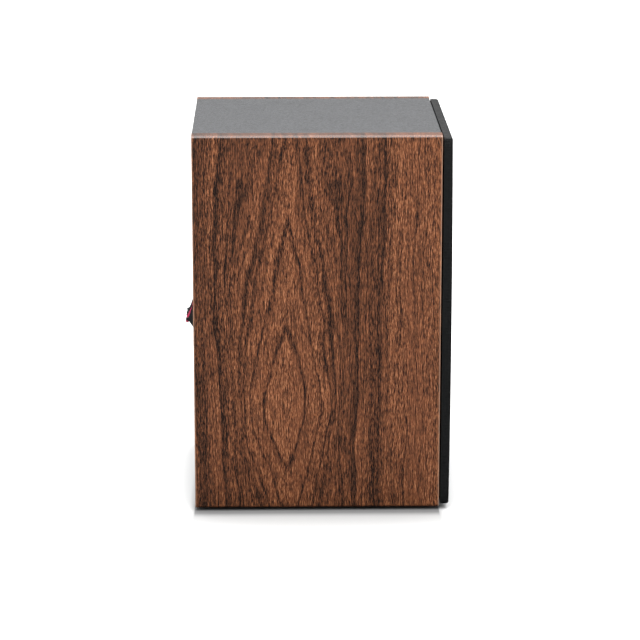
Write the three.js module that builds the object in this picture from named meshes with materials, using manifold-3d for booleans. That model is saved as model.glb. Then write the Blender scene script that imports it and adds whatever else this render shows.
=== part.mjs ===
// A compact two-way bookshelf loudspeaker: a walnut-sided cabinet, a pull-off cloth grille, a woofer,
// a dome tweeter, a crossover, a rear bass port and a spring-clip terminal.
// Millimetres, +Z up. The grille faces -Y and the terminal faces +Y.
// The origin is on the floor, under the middle of the whole object.
import * as THREE from "three";
import { mergeVertices } from "three/addons/utils/BufferGeometryUtils.js";
import Module from "manifold-3d";

// ---- Driving dimensions ------------------------------------------------------------------------

// Cabinet: six boards, glued edge to edge.
const cabinetWidth = 146;
const cabinetHeight = 234;
const cabinetDepth = 151;
const sideThickness = 9.5;
const deckThickness = 12;
const baffleThickness = 12;
const backThickness = 9;
const longEdgeRound = 2;
const uprightEdgeRound = 1;
const footHeight = 2;
const footRadius = 7;
const footMargin = 5;
const footEdge = 0.5;

// Fits: glued pieces stand a seam apart, and moving pieces keep a running clearance.
const seam = 0.3;
const running = 0.3;

// Grille: a moulded frame on four pegs, with cloth stretched over it.
const grilleSideInset = 0.5;
const grilleTopInset = 1.7;
const grilleBottomInset = 1.7;
const grilleGap = 1;
const grilleThickness = 5.2;
const grilleCornerRound = 2;
const clothThickness = 0.6;
const railWidth = 10;
const crossbarWidth = 8;
const crossbarCornerRound = 6;
const pegRadius = 3;
const pegReach = 7.4;
const pegRoot = 1;
const pegTip = 1;
const pegPad = 1;
const socketWall = 1.3;
const socketFloor = 1.2;
const socketLip = 1.2;
const socketLipThickness = 0.8;
const socketMargin = 1;

// Screws, all alike.
const screwHeadRadius = 3.4;
const screwHeadHeight = 1.5;
const screwHeadEdge = 0.5;
const screwRecessRadius = 1.2;
const screwRecessDepth = 0.8;
const screwShankRadius = 1.6;
const screwLength = 10;
const screwTip = 2;
const screwProud = 0.8;

// Woofer: depths run inwards from the front of the baffle.
const wooferRadius = 58;
const wooferEdgeMargin = 4;
const basketFlange = 2.4;
const basketFlangeWidth = 7.6;
const basketSheet = 1.4;
const basketTubWall = 1.2;
const basketLedgeWidth = 6.4;
const basketLedgeStep = 0.8;
const basketSideDepth = 10;
const basketTaper = 7.5;
const basketDepth = 38;
const basketSpoke = 10;
const basketBoreGap = 4.7;
const spiderSeatWidth = 3.5;
const spiderSeatHeight = 8;
const gasketThickness = 1;
const gasketMargin = 0.4;
const surroundSkin = 0.7;
const surroundLip = 2.8;
const rollWidth = 7.2;
const rollHeight = 3.2;
const rollOverLedge = 1.6;
const coneSkin = 0.9;
const coneDepth = 16;
const coneBulge = 2.4;
const dustCapSkin = 0.6;
const dustCapHeight = 5;
const dustCapOverlap = 1.3;
const dustCapStand = 0.5;
const spiderSkin = 0.5;
const spiderWaves = 3;
const spiderWaveHeight = 0.5;
const neckGap = 0.6;
const magnetGap = 0.5;
const wooferCoilRadius = 12.3;
const wooferFormerWall = 0.3;
const wooferWinding = 0.3;
const wooferPoleRadius = 11.4;
const wooferTopPlateRadius = 32;
const wooferMagnetBore = 20;
const wooferMagnetRadius = 36;
const wooferMagnetHeight = 12;
const motorPlateThickness = 4;
const poleRecess = 0.5;

// Tweeter: depths run inwards from the front of the baffle.
const tweeterRadius = 37;
const tweeterEdgeMargin = 6;
const tweeterScrewMargin = 5;
const faceplateThickness = 3;
const faceplateBossRadius = 27.5;
const faceplateBossDepth = 6.2;
const hornMouthRadius = 27;
const hornWall = 1.2;
const domeRadius = 12.4;
const domeHeight = 6;
const domeSkin = 0.5;
const domeRollWidth = 2.9;
const domeRollHeight = 1.2;
const tweeterThroatGap = 0.4;
const tweeterFlatWidth = 3;
const tweeterCoilWall = 0.4;
const tweeterPlateRadius = 25;
const tweeterPlateThickness = 3;
const tweeterMagnetBore = 17;
const tweeterMagnetRadius = 27;
const tweeterMagnetHeight = 8;
const tweeterPoleRadius = 11.2;

// Bass port in the back board.
const portBoreRadius = 14;
const portWall = 1.8;
const portCollarRadius = 18.5;
const portCollarDepth = 8;
const portMouthMargin = 0.5;
const portFlareDepth = 7;
const portFlangeRadius = 23;
const portFlangeThickness = 1.5;
const portLength = 64;
const portBelowTop = 54;

// Spring-clip terminal in the back board. Heights are from the tips of the levers.
const terminalHeight = 104.4;
const plateWidth = 52;
const plateBelow = 14;
const plateAbove = 22;
const plateThickness = 3;
const plateProud = 1.5;
const plateCornerRound = 4;
const cupHalfWidth = 16;
const cupBelow = 8.6;
const cupAbove = 16.8;
const cupWall = 1.6;
const cupDepth = 12;
const leverSpacing = 15.7;
const leverWidth = 8.4;
const leverThickness = 1.7;
const leverReach = 6.6;
const leverDrop = 9.5;
const leverShoulder = 0.6;
const leverTipHeight = 0.4;
const leverEndHeight = 1.2;
const leverHingeReach = 0.9;
const leverBarrelRadius = 1.5;
const leverPinRadius = 0.8;
const leverPinLength = 1.1;
const cheekThickness = 1.5;
const cheekCrown = 1.7;
const cheekBehindLever = 0.6;
const guardBehindLever = 0.2;
const guardTop = 2.8;
const guardFace = 1.4;
const guardFoot = 2.2;
const cheekBottom = 4;
const wireMouthHeight = 5;
const contactWidth = 5;
const contactSheet = 0.5;
const contactTab = 5;
const contactAboveMouth = 1;
const contactBelowHinge = 4;

// Crossover board on the floor of the cabinet.
const boardWidth = 70;
const boardLength = 56;
const boardThickness = 1.6;
const boardBehind = 14.5;
const spacerHeight = 6;
const spacerRadius = 4;
const spacerMargin = 2;
const inductorRadius = 15;
const inductorCoreRadius = 6;
const inductorHeight = 14;
const inductorFlange = 1.2;
const inductorWindingInset = 1.5;
const inductorMargin = 3;
const capacitorRadius = 6.5;
const capacitorLength = 30;
const capacitorMargin = 7;
const resistorLength = 26;
const resistorSide = 8;
const resistorBehindMiddle = 3;
const partsAside = 12;

// Soft and flexible pieces.
const leadRadius = 1.6;
const paddingThickness = 15;
const paddingSide = 8;

// How finely round pieces are cut, and how far a cutter runs past the face that it opens.
const largeRound = 32;
const mediumRound = 24;
const smallRound = 12;
const screwRound = 8;
const arcSteps = 4;
const beyond = 1;

// ---- Finishes ----------------------------------------------------------------------------------

const finishes = {
  walnut: { color: 0x6f4a36, roughness: 0.45, metalness: 0 },
  blackBoard: { color: 0x2a2b2d, roughness: 0.6, metalness: 0 },
  rubber: { color: 0x17181a, roughness: 0.9, metalness: 0 },
  cloth: { color: 0x141516, roughness: 0.95, metalness: 0 },
  blackPlastic: { color: 0x1a1b1d, roughness: 0.5, metalness: 0 },
  redPlastic: { color: 0xb3244a, roughness: 0.4, metalness: 0 },
  paper: { color: 0x24211f, roughness: 0.9, metalness: 0 },
  silk: { color: 0x2b2826, roughness: 0.55, metalness: 0 },
  steel: { color: 0x8a8c8e, roughness: 0.4, metalness: 0.9 },
  blackSteel: { color: 0x202123, roughness: 0.4, metalness: 0.6 },
  ferrite: { color: 0x3a3a3c, roughness: 0.7, metalness: 0.1 },
  copper: { color: 0xb5703c, roughness: 0.35, metalness: 0.8 },
  brass: { color: 0xb99a4c, roughness: 0.35, metalness: 0.9 },
  board: { color: 0x2f5a3a, roughness: 0.6, metalness: 0 },
  film: { color: 0x8e2f25, roughness: 0.4, metalness: 0 },
  ceramic: { color: 0xd9d5c8, roughness: 0.8, metalness: 0 },
  wadding: { color: 0xe4e2da, roughness: 1, metalness: 0 },
};

// ---- Shaping -----------------------------------------------------------------------------------

const wasm = await Module();
wasm.setup();

// A closed geometry as a solid that can be joined and cut.
function solidOf(geometry) {
  const bare = geometry.clone();
  bare.deleteAttribute("normal");
  bare.deleteAttribute("uv");
  const merged = mergeVertices(bare, 1e-4);
  return new wasm.Manifold(
    new wasm.Mesh({
      numProp: 3,
      vertProperties: merged.attributes.position.array,
      triVerts: new Uint32Array(merged.index.array),
    }),
  );
}

// A solid back as a geometry.
function geometryOf(solid) {
  const mesh = solid.getMesh();
  const geometry = new THREE.BufferGeometry();
  geometry.setAttribute("position", new THREE.BufferAttribute(mesh.vertProperties, 3));
  geometry.setIndex(new THREE.BufferAttribute(mesh.triVerts, 1));
  return geometry;
}

// One geometry with others joined to it.
function joined(first, others) {
  return geometryOf(others.reduce((sum, other) => sum.add(solidOf(other)), solidOf(first)));
}

// One geometry with others cut out of it.
function cut(first, others) {
  return geometryOf(others.reduce((rest, other) => rest.subtract(solidOf(other)), solidOf(first)));
}

// What two geometries share.
function shared(first, second) {
  return geometryOf(solidOf(first).intersect(solidOf(second)));
}

// A profile of [radius, y] points turned about the Y axis. It closes on itself, or on the axis.
function turned(points, sides) {
  const outline = points.map(([radius, y]) => new THREE.Vector2(radius, y));
  if (outline[0].x > 0) outline.push(outline[0].clone());
  if (THREE.ShapeUtils.area(outline) < 0) outline.reverse();
  return new THREE.LatheGeometry(outline, sides);
}

// A round bar or bore along Y, from one depth to another.
function rod(radius, from, to, x, z, sides) {
  const upright = new THREE.CylinderGeometry(radius, radius, to - from, sides);
  return upright.translate(x, (from + to) / 2, z);
}

// A block between two corners.
function block([x1, y1, z1], [x2, y2, z2]) {
  const box = new THREE.BoxGeometry(x2 - x1, y2 - y1, z2 - z1);
  return box.translate((x1 + x2) / 2, (y1 + y2) / 2, (z1 + z2) / 2);
}

function extrusion(from, to) {
  return { depth: to - from, bevelEnabled: false, curveSegments: arcSteps };
}

// A shape drawn in X and Z, as a plate from one depth to another.
function plate(shape, from, to) {
  const standing = new THREE.ExtrudeGeometry(shape, extrusion(from, to));
  return standing.rotateX(Math.PI / 2).translate(0, to, 0);
}

// A shape drawn in X and Y, as a slab from one height to another.
function slab(shape, from, to) {
  const lying = new THREE.ExtrudeGeometry(shape, extrusion(from, to));
  return lying.translate(0, 0, from);
}

// An outline of [y, z] points, as a bar along X from one side to another.
function bar(points, from, to) {
  const shape = new THREE.Shape(points.map(([y, z]) => new THREE.Vector2(y, z)));
  const turn = new THREE.Matrix4().set(0, 0, 1, 0, 1, 0, 0, 0, 0, 1, 0, 0, 0, 0, 0, 1);
  const upright = new THREE.ExtrudeGeometry(shape, extrusion(from, to));
  return upright.applyMatrix4(turn).translate(from, 0, 0);
}

// A bar along X between two distances from the middle, at a place in Y and Z.
function axle(radius, halfLength, x, y, z, sides) {
  const upright = new THREE.CylinderGeometry(radius, radius, 2 * halfLength, sides);
  return upright.rotateZ(Math.PI / 2).translate(x, y, z);
}

// A flat ring about the Y axis.
function flatRing(inner, outer, from, to, sides) {
  const profile = [
    [inner, from],
    [outer, from],
    [outer, to],
    [inner, to],
  ];
  return turned(profile, sides);
}

// Points on a curve from its start to its end, as [radius, y] worked out from a share of the way.
function along(steps, point) {
  return Array.from({ length: steps + 1 }, (_, i) => point(i / steps));
}

// A thin domed skin about the Y axis: its rim has a radius and a depth, and it rises towards -Y.
function domed(radius, rimDepth, rise, skin, steps) {
  const face = (rim, height) =>
    along(steps, (share) => {
      const angle = (share * Math.PI) / 2;
      return [share === 1 ? 0 : rim * Math.cos(angle), rimDepth - height * Math.sin(angle)];
    });
  return turned([...face(radius, rise), ...face(radius - skin, rise - skin).reverse()], mediumRound);
}

// A rectangle between two corners, with its own round at the bottom and at the top corners.
function roundedOutline(path, [x1, y1], [x2, y2], low, high) {
  path.absarc(x1 + low, y1 + low, low, Math.PI, 1.5 * Math.PI);
  path.absarc(x2 - low, y1 + low, low, 1.5 * Math.PI, 2 * Math.PI);
  path.absarc(x2 - high, y2 - high, high, 0, 0.5 * Math.PI);
  path.absarc(x1 + high, y2 - high, high, 0.5 * Math.PI, Math.PI);
  path.closePath();
  return path;
}

// Places at equal angles on a circle, as [x, z], starting half a step off the vertical.
function ringPlaces(radius, count) {
  return Array.from({ length: count }, (_, i) => {
    const angle = ((i + 0.5) * 2 * Math.PI) / count;
    return [radius * Math.sin(angle), radius * Math.cos(angle)];
  });
}

function piece(name, geometry, finish) {
  const mesh = new THREE.Mesh(geometry, new THREE.MeshStandardMaterial(finishes[finish]));
  mesh.name = name;
  return mesh;
}

function assembly(x, y, z, pieces) {
  const group = new THREE.Group();
  group.position.set(x, y, z);
  group.add(...pieces);
  return group;
}

// ---- Places that several pieces share ----------------------------------------------------------

const front = -cabinetDepth / 2;
const back = cabinetDepth / 2;
const floor = footHeight;
const top = footHeight + cabinetHeight;
const innerHalfWidth = cabinetWidth / 2 - sideThickness;
const boardHalfWidth = innerHalfWidth - seam;
const boardBottom = floor + deckThickness + seam;
const boardTop = top - deckThickness - seam;
const backInside = back - backThickness;
const wooferZ = boardBottom + wooferEdgeMargin + wooferRadius;
const tweeterZ = boardTop - tweeterEdgeMargin - tweeterRadius;
const portZ = top - portBelowTop;
const terminalZ = floor + terminalHeight;
const wooferRebate = basketFlange + gasketThickness + 2 * seam;
const tweeterRebate = faceplateThickness + seam;
const socketBore = pegRadius + running;
const socketRadius = socketBore + socketWall;
const socketLipRadius = socketRadius + socketLip;
const pegX = boardHalfWidth - socketLipRadius - socketMargin;
const pegBottom = boardBottom + socketLipRadius + socketMargin;
const pegTop = boardTop - socketLipRadius - socketMargin;
const pegPlaces = [-pegX, pegX].flatMap((x) => [pegBottom, pegTop].map((z) => [x, z]));
const socketDepth = pegReach + running + socketFloor;
const basketTubRadius = wooferRadius - basketFlangeWidth;
const wooferScrews = ringPlaces(wooferRadius - basketFlangeWidth / 2, 4);
const tweeterScrews = ringPlaces(tweeterRadius - tweeterScrewMargin, 4);
const pilotRadius = screwShankRadius + seam;
const pilotDepth = screwLength;

// ---- Cabinet -----------------------------------------------------------------------------------

// One side board lies with its outer face towards -X, and its outer edges are rounded over.
function sideBoard() {
  const section = (span, round) => {
    const shape = new THREE.Shape();
    shape.moveTo(sideThickness, -span / 2);
    shape.lineTo(sideThickness, span / 2);
    shape.absarc(round, span / 2 - round, round, 0.5 * Math.PI, Math.PI);
    shape.absarc(round, round - span / 2, round, Math.PI, 1.5 * Math.PI);
    shape.closePath();
    return shape;
  };
  const standing = plate(section(cabinetHeight, longEdgeRound), front, back);
  const lying = slab(section(cabinetDepth, uprightEdgeRound), -cabinetHeight / 2, cabinetHeight / 2);
  return shared(standing, lying).translate(-cabinetWidth / 2, 0, floor + cabinetHeight / 2);
}

// Pilot holes for a driver's screws, bored back from the front of the baffle.
function pilotHoles(places, z) {
  return places.map(([dx, dz]) => rod(pilotRadius, -beyond, pilotDepth, dx, z + dz, screwRound));
}

// The baffle carries both drivers in rebates, and the grille's sockets. Its front face is at y = 0.
function frontBaffle() {
  const board = block([-boardHalfWidth, 0, boardBottom], [boardHalfWidth, baffleThickness, boardTop]);
  const through = baffleThickness + beyond;
  const wooferHole = rod(basketTubRadius + seam, -beyond, through, 0, wooferZ, largeRound);
  const wooferSeat = rod(wooferRadius + seam, -beyond, wooferRebate, 0, wooferZ, largeRound);
  const tweeterHole = rod(faceplateBossRadius + 2 * seam, -beyond, through, 0, tweeterZ, mediumRound);
  const tweeterSeat = rod(tweeterRadius + seam, -beyond, tweeterRebate, 0, tweeterZ, largeRound);
  const sockets = pegPlaces.flatMap(([x, z]) => [
    rod(socketRadius + seam, -beyond, socketDepth + seam, x, z, smallRound),
    rod(socketLipRadius + seam, -beyond, socketLipThickness + seam, x, z, smallRound),
  ]);
  const screws = [...pilotHoles(wooferScrews, wooferZ), ...pilotHoles(tweeterScrews, tweeterZ)];
  return cut(board, [wooferHole, wooferSeat, tweeterHole, tweeterSeat, ...sockets, ...screws]);
}

// The back board has holes for the port and for the terminal. Its outer face is at y = 0.
function backBoard() {
  const board = block([-boardHalfWidth, -backThickness, boardBottom], [boardHalfWidth, 0, boardTop]);
  const inside = -backThickness - beyond;
  const port = rod(portCollarRadius + seam, inside, beyond, 0, portZ, mediumRound);
  const cup = block(
    [-cupHalfWidth - seam, inside, terminalZ - cupBelow - seam],
    [cupHalfWidth + seam, beyond, terminalZ + cupAbove + seam],
  );
  const plateSeat = plate(terminalPlateShape(seam), plateProud - plateThickness - seam, beyond);
  const screws = terminalScrews().map(([x, z]) =>
    rod(pilotRadius, inside, beyond, x, terminalZ + z, screwRound),
  );
  return cut(board, [port, cup, plateSeat.translate(0, 0, terminalZ), ...screws]);
}

function foot() {
  const height = footHeight - seam;
  const profile = [
    [0, 0],
    [footRadius - footEdge, 0],
    [footRadius, footEdge],
    [footRadius, height],
    [0, height],
  ];
  return turned(profile, smallRound).rotateX(Math.PI / 2);
}

function cabinetPieces() {
  const deck = (z) => block([-boardHalfWidth, front, z], [boardHalfWidth, back, z + deckThickness]);
  const footX = boardHalfWidth - footMargin - footRadius;
  const footY = cabinetDepth / 2 - footMargin - footRadius;
  const feet = [
    ["foot_front_left", -footX, -footY],
    ["foot_front_right", footX, -footY],
    ["foot_back_left", -footX, footY],
    ["foot_back_right", footX, footY],
  ].map(([name, x, y]) => piece(name, foot().translate(x, y, 0), "rubber"));
  return [
    piece("side_board_left", sideBoard(), "walnut"),
    piece("side_board_right", sideBoard().rotateZ(Math.PI), "walnut"),
    piece("top_board", deck(top - deckThickness), "blackBoard"),
    piece("bottom_board", deck(floor), "blackBoard"),
    piece("front_baffle", frontBaffle().translate(0, front, 0), "blackBoard"),
    piece("back_board", backBoard().translate(0, back, 0), "blackBoard"),
    ...feet,
  ];
}

// ---- Grille ------------------------------------------------------------------------------------

// The front of the baffle is at y = 0, and the grille stands off it towards -Y.
const grilleHalfWidth = cabinetWidth / 2 - grilleSideInset;
const grilleBottom = floor + grilleBottomInset;
const grilleTop = top - grilleTopInset;
const grilleFront = -grilleGap - grilleThickness;
const crossbarZ = (wooferZ + wooferRadius + tweeterZ - tweeterRadius) / 2;

// The round of a window's corner that keeps a pad of frame around a peg, which stands this far
// inside the two edges of the window.
function cornerRoundAround(alongX, alongZ) {
  const reach = pegRadius + pegPad;
  const sum = alongX + alongZ + reach;
  return sum + Math.sqrt(sum * sum - alongX * alongX - alongZ * alongZ + reach * reach);
}

function grilleFrame() {
  const halfWidth = grilleHalfWidth - clothThickness;
  const low = grilleBottom + clothThickness;
  const high = grilleTop - clothThickness;
  const windowHalfWidth = halfWidth - railWidth;
  const lowerRound = cornerRoundAround(windowHalfWidth - pegX, pegBottom - low - railWidth);
  const upperRound = cornerRoundAround(windowHalfWidth - pegX, high - railWidth - pegTop);
  const shape = roundedOutline(
    new THREE.Shape(),
    [-halfWidth, low],
    [halfWidth, high],
    grilleCornerRound,
    grilleCornerRound,
  );
  const lowerWindow = roundedOutline(
    new THREE.Path(),
    [-windowHalfWidth, low + railWidth],
    [windowHalfWidth, crossbarZ - crossbarWidth / 2],
    lowerRound,
    crossbarCornerRound,
  );
  const upperWindow = roundedOutline(
    new THREE.Path(),
    [-windowHalfWidth, crossbarZ + crossbarWidth / 2],
    [windowHalfWidth, high - railWidth],
    crossbarCornerRound,
    upperRound,
  );
  shape.holes.push(lowerWindow, upperWindow);
  const frame = plate(shape, grilleFront + clothThickness + seam, -grilleGap);
  const peg = turned(
    [
      [0, -grilleGap - pegRoot],
      [pegRadius, -grilleGap - pegRoot],
      [pegRadius, pegReach - pegTip],
      [pegRadius - pegTip, pegReach],
      [0, pegReach],
    ],
    smallRound,
  );
  return joined(
    frame,
    pegPlaces.map(([x, z]) => peg.clone().translate(x, 0, z)),
  );
}

function grilleCloth() {
  const shape = roundedOutline(
    new THREE.Shape(),
    [-grilleHalfWidth, grilleBottom],
    [grilleHalfWidth, grilleTop],
    grilleCornerRound,
    grilleCornerRound,
  );
  return plate(shape, grilleFront, grilleFront + clothThickness);
}

function socket() {
  const profile = [
    [socketBore, 0],
    [socketLipRadius, 0],
    [socketLipRadius, socketLipThickness],
    [socketRadius, socketLipThickness],
    [socketRadius, socketDepth],
    [0, socketDepth],
    [0, socketDepth - socketFloor],
    [socketBore, socketDepth - socketFloor],
  ];
  return turned(profile, smallRound);
}

function grillePieces() {
  const names = ["left_low", "left_high", "right_low", "right_high"];
  const sockets = pegPlaces.map(([x, z], i) =>
    piece("grille_socket_" + names[i], socket().translate(x, 0, z), "rubber"),
  );
  return [
    piece("grille_frame", grilleFrame(), "blackPlastic"),
    piece("grille_cloth", grilleCloth(), "cloth"),
    ...sockets,
  ];
}

// ---- Screws ------------------------------------------------------------------------------------

// A pan-head wood screw with a round drive recess. The top of its head is at y = 0, its tip towards +Y.
function screw() {
  return turned(
    [
      [0, screwRecessDepth],
      [screwRecessRadius, 0],
      [screwHeadRadius - screwHeadEdge, 0],
      [screwHeadRadius, screwHeadEdge],
      [screwHeadRadius, screwHeadHeight],
      [screwShankRadius, screwHeadHeight],
      [screwShankRadius, screwLength - screwTip],
      [0, screwLength],
    ],
    screwRound,
  );
}

// Clearance holes for screws, counterbored so that a head stands proud of the face at y = 0.
function screwSeats(places) {
  const floorDepth = screwHeadHeight - screwProud + seam;
  return places.flatMap(([x, z]) => [
    rod(screwHeadRadius + seam, -beyond, floorDepth, x, z, smallRound),
    rod(pilotRadius, -beyond, screwLength, x, z, screwRound),
  ]);
}

function screws(prefix, places) {
  return places.map(([x, z], i) =>
    piece(prefix + (i + 1), screw().translate(x, -screwProud, z), "blackSteel"),
  );
}

// ---- Woofer ------------------------------------------------------------------------------------

const basketTubInside = basketTubRadius - basketTubWall;
const basketLedgeRadius = basketTubRadius - basketLedgeWidth;
const spiderSeatRadius = basketLedgeRadius - basketTaper;
const spiderRimRadius = spiderSeatRadius - spiderSeatWidth;
const ledgeDepth = basketFlange + basketLedgeStep;
const spiderDepth = basketDepth - spiderSeatHeight;
const surroundBack = ledgeDepth - seam;
const surroundFlatRadius = basketTubInside - 2 * seam;
const rollOuterRadius = basketLedgeRadius + rollOverLedge;
const rollInnerRadius = rollOuterRadius - rollWidth;
const coneRimDepth = surroundBack + seam;
const coneFaceRadius = rollInnerRadius - surroundLip;
const coneNeckRadius = wooferCoilRadius + neckGap;
const coneNeckDepth = coneRimDepth + coneDepth;
const wooferMotor = basketDepth + seam;
const wooferMagnetFrom = wooferMotor + motorPlateThickness + seam;
const wooferBackFrom = wooferMagnetFrom + wooferMagnetHeight + seam;

// The four windows leave spokes of a set width where the basket is narrowest.
function basketWindows() {
  const frontRim = 2.5;
  const backRim = 3.5;
  const spokeShare = basketSpoke / Math.SQRT2;
  const half = (Math.sqrt(2 * spiderSeatRadius ** 2 - spokeShare ** 2) - spokeShare) / 2;
  const reach = wooferRadius + beyond;
  const from = basketSideDepth + frontRim;
  const to = spiderDepth - backRim;
  return [block([-reach, from, -half], [reach, to, half]), block([-half, from, -reach], [half, to, reach])];
}

// A pressed steel basket: flange, ledge for the surround, four windows, seat for the spider.
function basket() {
  const sheet = basketSheet;
  const mitre = 0.4;
  const taperEnd = spiderDepth - 2;
  const stepDepth = spiderDepth + 1.8;
  const boreRadius = wooferCoilRadius + basketBoreGap;
  const profile = [
    [wooferRadius, 0],
    [wooferRadius, basketFlange],
    [basketTubRadius, basketFlange],
    [basketTubRadius, ledgeDepth + sheet],
    [basketLedgeRadius + sheet, ledgeDepth + sheet],
    [basketLedgeRadius + sheet, basketSideDepth],
    [spiderSeatRadius, taperEnd],
    [spiderSeatRadius, stepDepth],
    [spiderRimRadius, stepDepth],
    [spiderRimRadius, basketDepth],
    [boreRadius, basketDepth],
    [boreRadius, basketDepth - sheet],
    [spiderRimRadius - sheet, basketDepth - sheet],
    [spiderRimRadius - sheet, stepDepth - sheet],
    [spiderSeatRadius - sheet, stepDepth - sheet],
    [spiderSeatRadius - sheet, taperEnd + mitre],
    [basketLedgeRadius, basketSideDepth + mitre],
    [basketLedgeRadius, ledgeDepth],
    [basketTubInside, ledgeDepth],
    [basketTubInside, 0],
  ];
  return cut(turned(profile, largeRound), [...basketWindows(), ...screwSeats(wooferScrews)]);
}

function wooferGasket() {
  const inner = basketTubRadius + 2 * seam;
  const from = basketFlange + seam;
  const ring = flatRing(inner, wooferRadius - gasketMargin, from, from + gasketThickness, largeRound);
  return cut(
    ring,
    wooferScrews.map(([x, z]) => rod(pilotRadius, 0, screwLength, x, z, screwRound)),
  );
}

// A half roll of rubber between the basket's ledge and the rim of the cone.
function wooferSurround() {
  const face = surroundBack - surroundSkin;
  const rollMiddle = (rollInnerRadius + rollOuterRadius) / 2;
  const roll = (width, height, base) =>
    along(5, (share) => {
      const angle = share * Math.PI;
      return [rollMiddle + width * Math.cos(angle), base - height * Math.sin(angle)];
    });
  return turned(
    [
      [surroundFlatRadius, surroundBack],
      [surroundFlatRadius, face],
      ...roll(rollWidth / 2, rollHeight, face),
      [coneFaceRadius, face],
      [coneFaceRadius, surroundBack],
      ...roll(rollWidth / 2 - surroundSkin, rollHeight - surroundSkin, surroundBack).reverse(),
    ],
    largeRound,
  );
}

// How deep the face of the cone lies, at a share of the way from its rim to its neck.
function coneFaceDepth(share) {
  return coneRimDepth + coneDepth * share + coneBulge * share * (1 - share);
}

// A flared paper cone, with a flat rim behind the surround and a hole for the coil former.
function wooferCone() {
  const rimOuter = rollInnerRadius - seam;
  const flare = (offset) =>
    along(4, (share) => {
      const radius = coneFaceRadius + (coneNeckRadius - coneFaceRadius) * share;
      return [radius, coneFaceDepth(share) + offset];
    });
  return turned(
    [
      [rimOuter, coneRimDepth],
      ...flare(0),
      ...flare(coneSkin).reverse(),
      [rimOuter, coneRimDepth + coneSkin],
    ],
    largeRound,
  );
}

function wooferDustCap() {
  const rimRadius = coneNeckRadius + dustCapOverlap;
  const share = (coneFaceRadius - rimRadius) / (coneFaceRadius - coneNeckRadius);
  return domed(rimRadius, coneFaceDepth(share) - dustCapStand, dustCapHeight, dustCapSkin, 4);
}

// A former that reaches into the cone's neck, with its winding in the gap of the motor.
function wooferVoiceCoil() {
  const intoNeck = 1.2;
  const overhangFront = 1;
  const overhangBack = 3;
  const inner = wooferCoilRadius - wooferFormerWall;
  const from = coneNeckDepth - intoNeck;
  const to = wooferMotor + motorPlateThickness + overhangBack;
  return turned(
    [
      [inner, from],
      [wooferCoilRadius, from],
      [wooferCoilRadius, wooferMotor - overhangFront],
      [wooferCoilRadius + wooferWinding, wooferMotor - overhangFront],
      [wooferCoilRadius + wooferWinding, to],
      [inner, to],
    ],
    mediumRound,
  );
}

// A corrugated cloth disc that centres the coil. Its flat rim sits on the basket's step.
function wooferSpider() {
  const outer = spiderSeatRadius - basketSheet - 2 * seam;
  const middleDepth = spiderDepth - seam / 2;
  const flatFrom = spiderRimRadius - basketSheet - seam;
  const surface = (offset) =>
    along(9, (share) => {
      const radius = coneNeckRadius + (outer - coneNeckRadius) * share;
      const ripple = radius > flatFrom ? 0 : Math.sin(share * spiderWaves * 2 * Math.PI);
      return [radius, middleDepth + offset + spiderWaveHeight * ripple];
    });
  return turned([...surface(-spiderSkin / 2), ...surface(spiderSkin / 2).reverse()], mediumRound);
}

// A back plate with the pole that stands inside the coil.
function polePlate(poleRadius, plateRadius, poleFrom, plateFrom, thickness) {
  const profile = [
    [0, poleFrom],
    [poleRadius, poleFrom],
    [poleRadius, plateFrom],
    [plateRadius, plateFrom],
    [plateRadius, plateFrom + thickness],
    [0, plateFrom + thickness],
  ];
  return turned(profile, mediumRound);
}

function wooferMotorPieces() {
  const gapRadius = wooferCoilRadius + wooferWinding + magnetGap;
  const topPlateTo = wooferMotor + motorPlateThickness;
  const magnetTo = wooferMagnetFrom + wooferMagnetHeight;
  const topPlate = flatRing(gapRadius, wooferTopPlateRadius, wooferMotor, topPlateTo, mediumRound);
  const magnet = flatRing(wooferMagnetBore, wooferMagnetRadius, wooferMagnetFrom, magnetTo, mediumRound);
  const pole = polePlate(
    wooferPoleRadius,
    wooferTopPlateRadius,
    wooferMotor + poleRecess,
    wooferBackFrom,
    motorPlateThickness,
  );
  return [
    piece("woofer_top_plate", topPlate, "steel"),
    piece("woofer_magnet", magnet, "ferrite"),
    piece("woofer_back_plate", pole, "steel"),
  ];
}

function wooferPieces() {
  return [
    piece("woofer_basket", basket(), "blackSteel"),
    piece("woofer_gasket", wooferGasket(), "rubber"),
    piece("woofer_surround", wooferSurround(), "rubber"),
    piece("woofer_cone", wooferCone(), "paper"),
    piece("woofer_dust_cap", wooferDustCap(), "silk"),
    piece("woofer_voice_coil", wooferVoiceCoil(), "copper"),
    piece("woofer_spider", wooferSpider(), "film"),
    ...wooferMotorPieces(),
    ...screws("woofer_screw_", wooferScrews),
  ];
}

// ---- Tweeter -----------------------------------------------------------------------------------

const domeRollInner = domeRadius + running;
const domeRollOuter = domeRollInner + domeRollWidth;
const tweeterThroatRadius = domeRollOuter + tweeterThroatGap;
const tweeterSeatFrom = faceplateBossDepth + seam;
const tweeterMotor = tweeterSeatFrom + domeSkin + seam;
const tweeterMagnetFrom = tweeterMotor + tweeterPlateThickness + seam;
const tweeterBackFrom = tweeterMagnetFrom + tweeterMagnetHeight + seam;
const tweeterRear = tweeterBackFrom + tweeterPlateThickness;

// A moulded faceplate with a shallow horn around the dome.
function tweeterFaceplate() {
  const throatDepth = faceplateBossDepth - hornWall;
  const horn = along(4, (share) => {
    const angle = (share * Math.PI) / 2;
    const radius = tweeterThroatRadius + (hornMouthRadius - tweeterThroatRadius) * (1 - Math.cos(angle));
    return [radius, throatDepth * (1 - Math.sin(angle))];
  });
  const profile = [
    [tweeterThroatRadius, faceplateBossDepth],
    ...horn,
    [tweeterRadius, 0],
    [tweeterRadius, faceplateThickness],
    [faceplateBossRadius, faceplateThickness],
    [faceplateBossRadius, faceplateBossDepth],
  ];
  return cut(turned(profile, largeRound), screwSeats(tweeterScrews));
}

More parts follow.
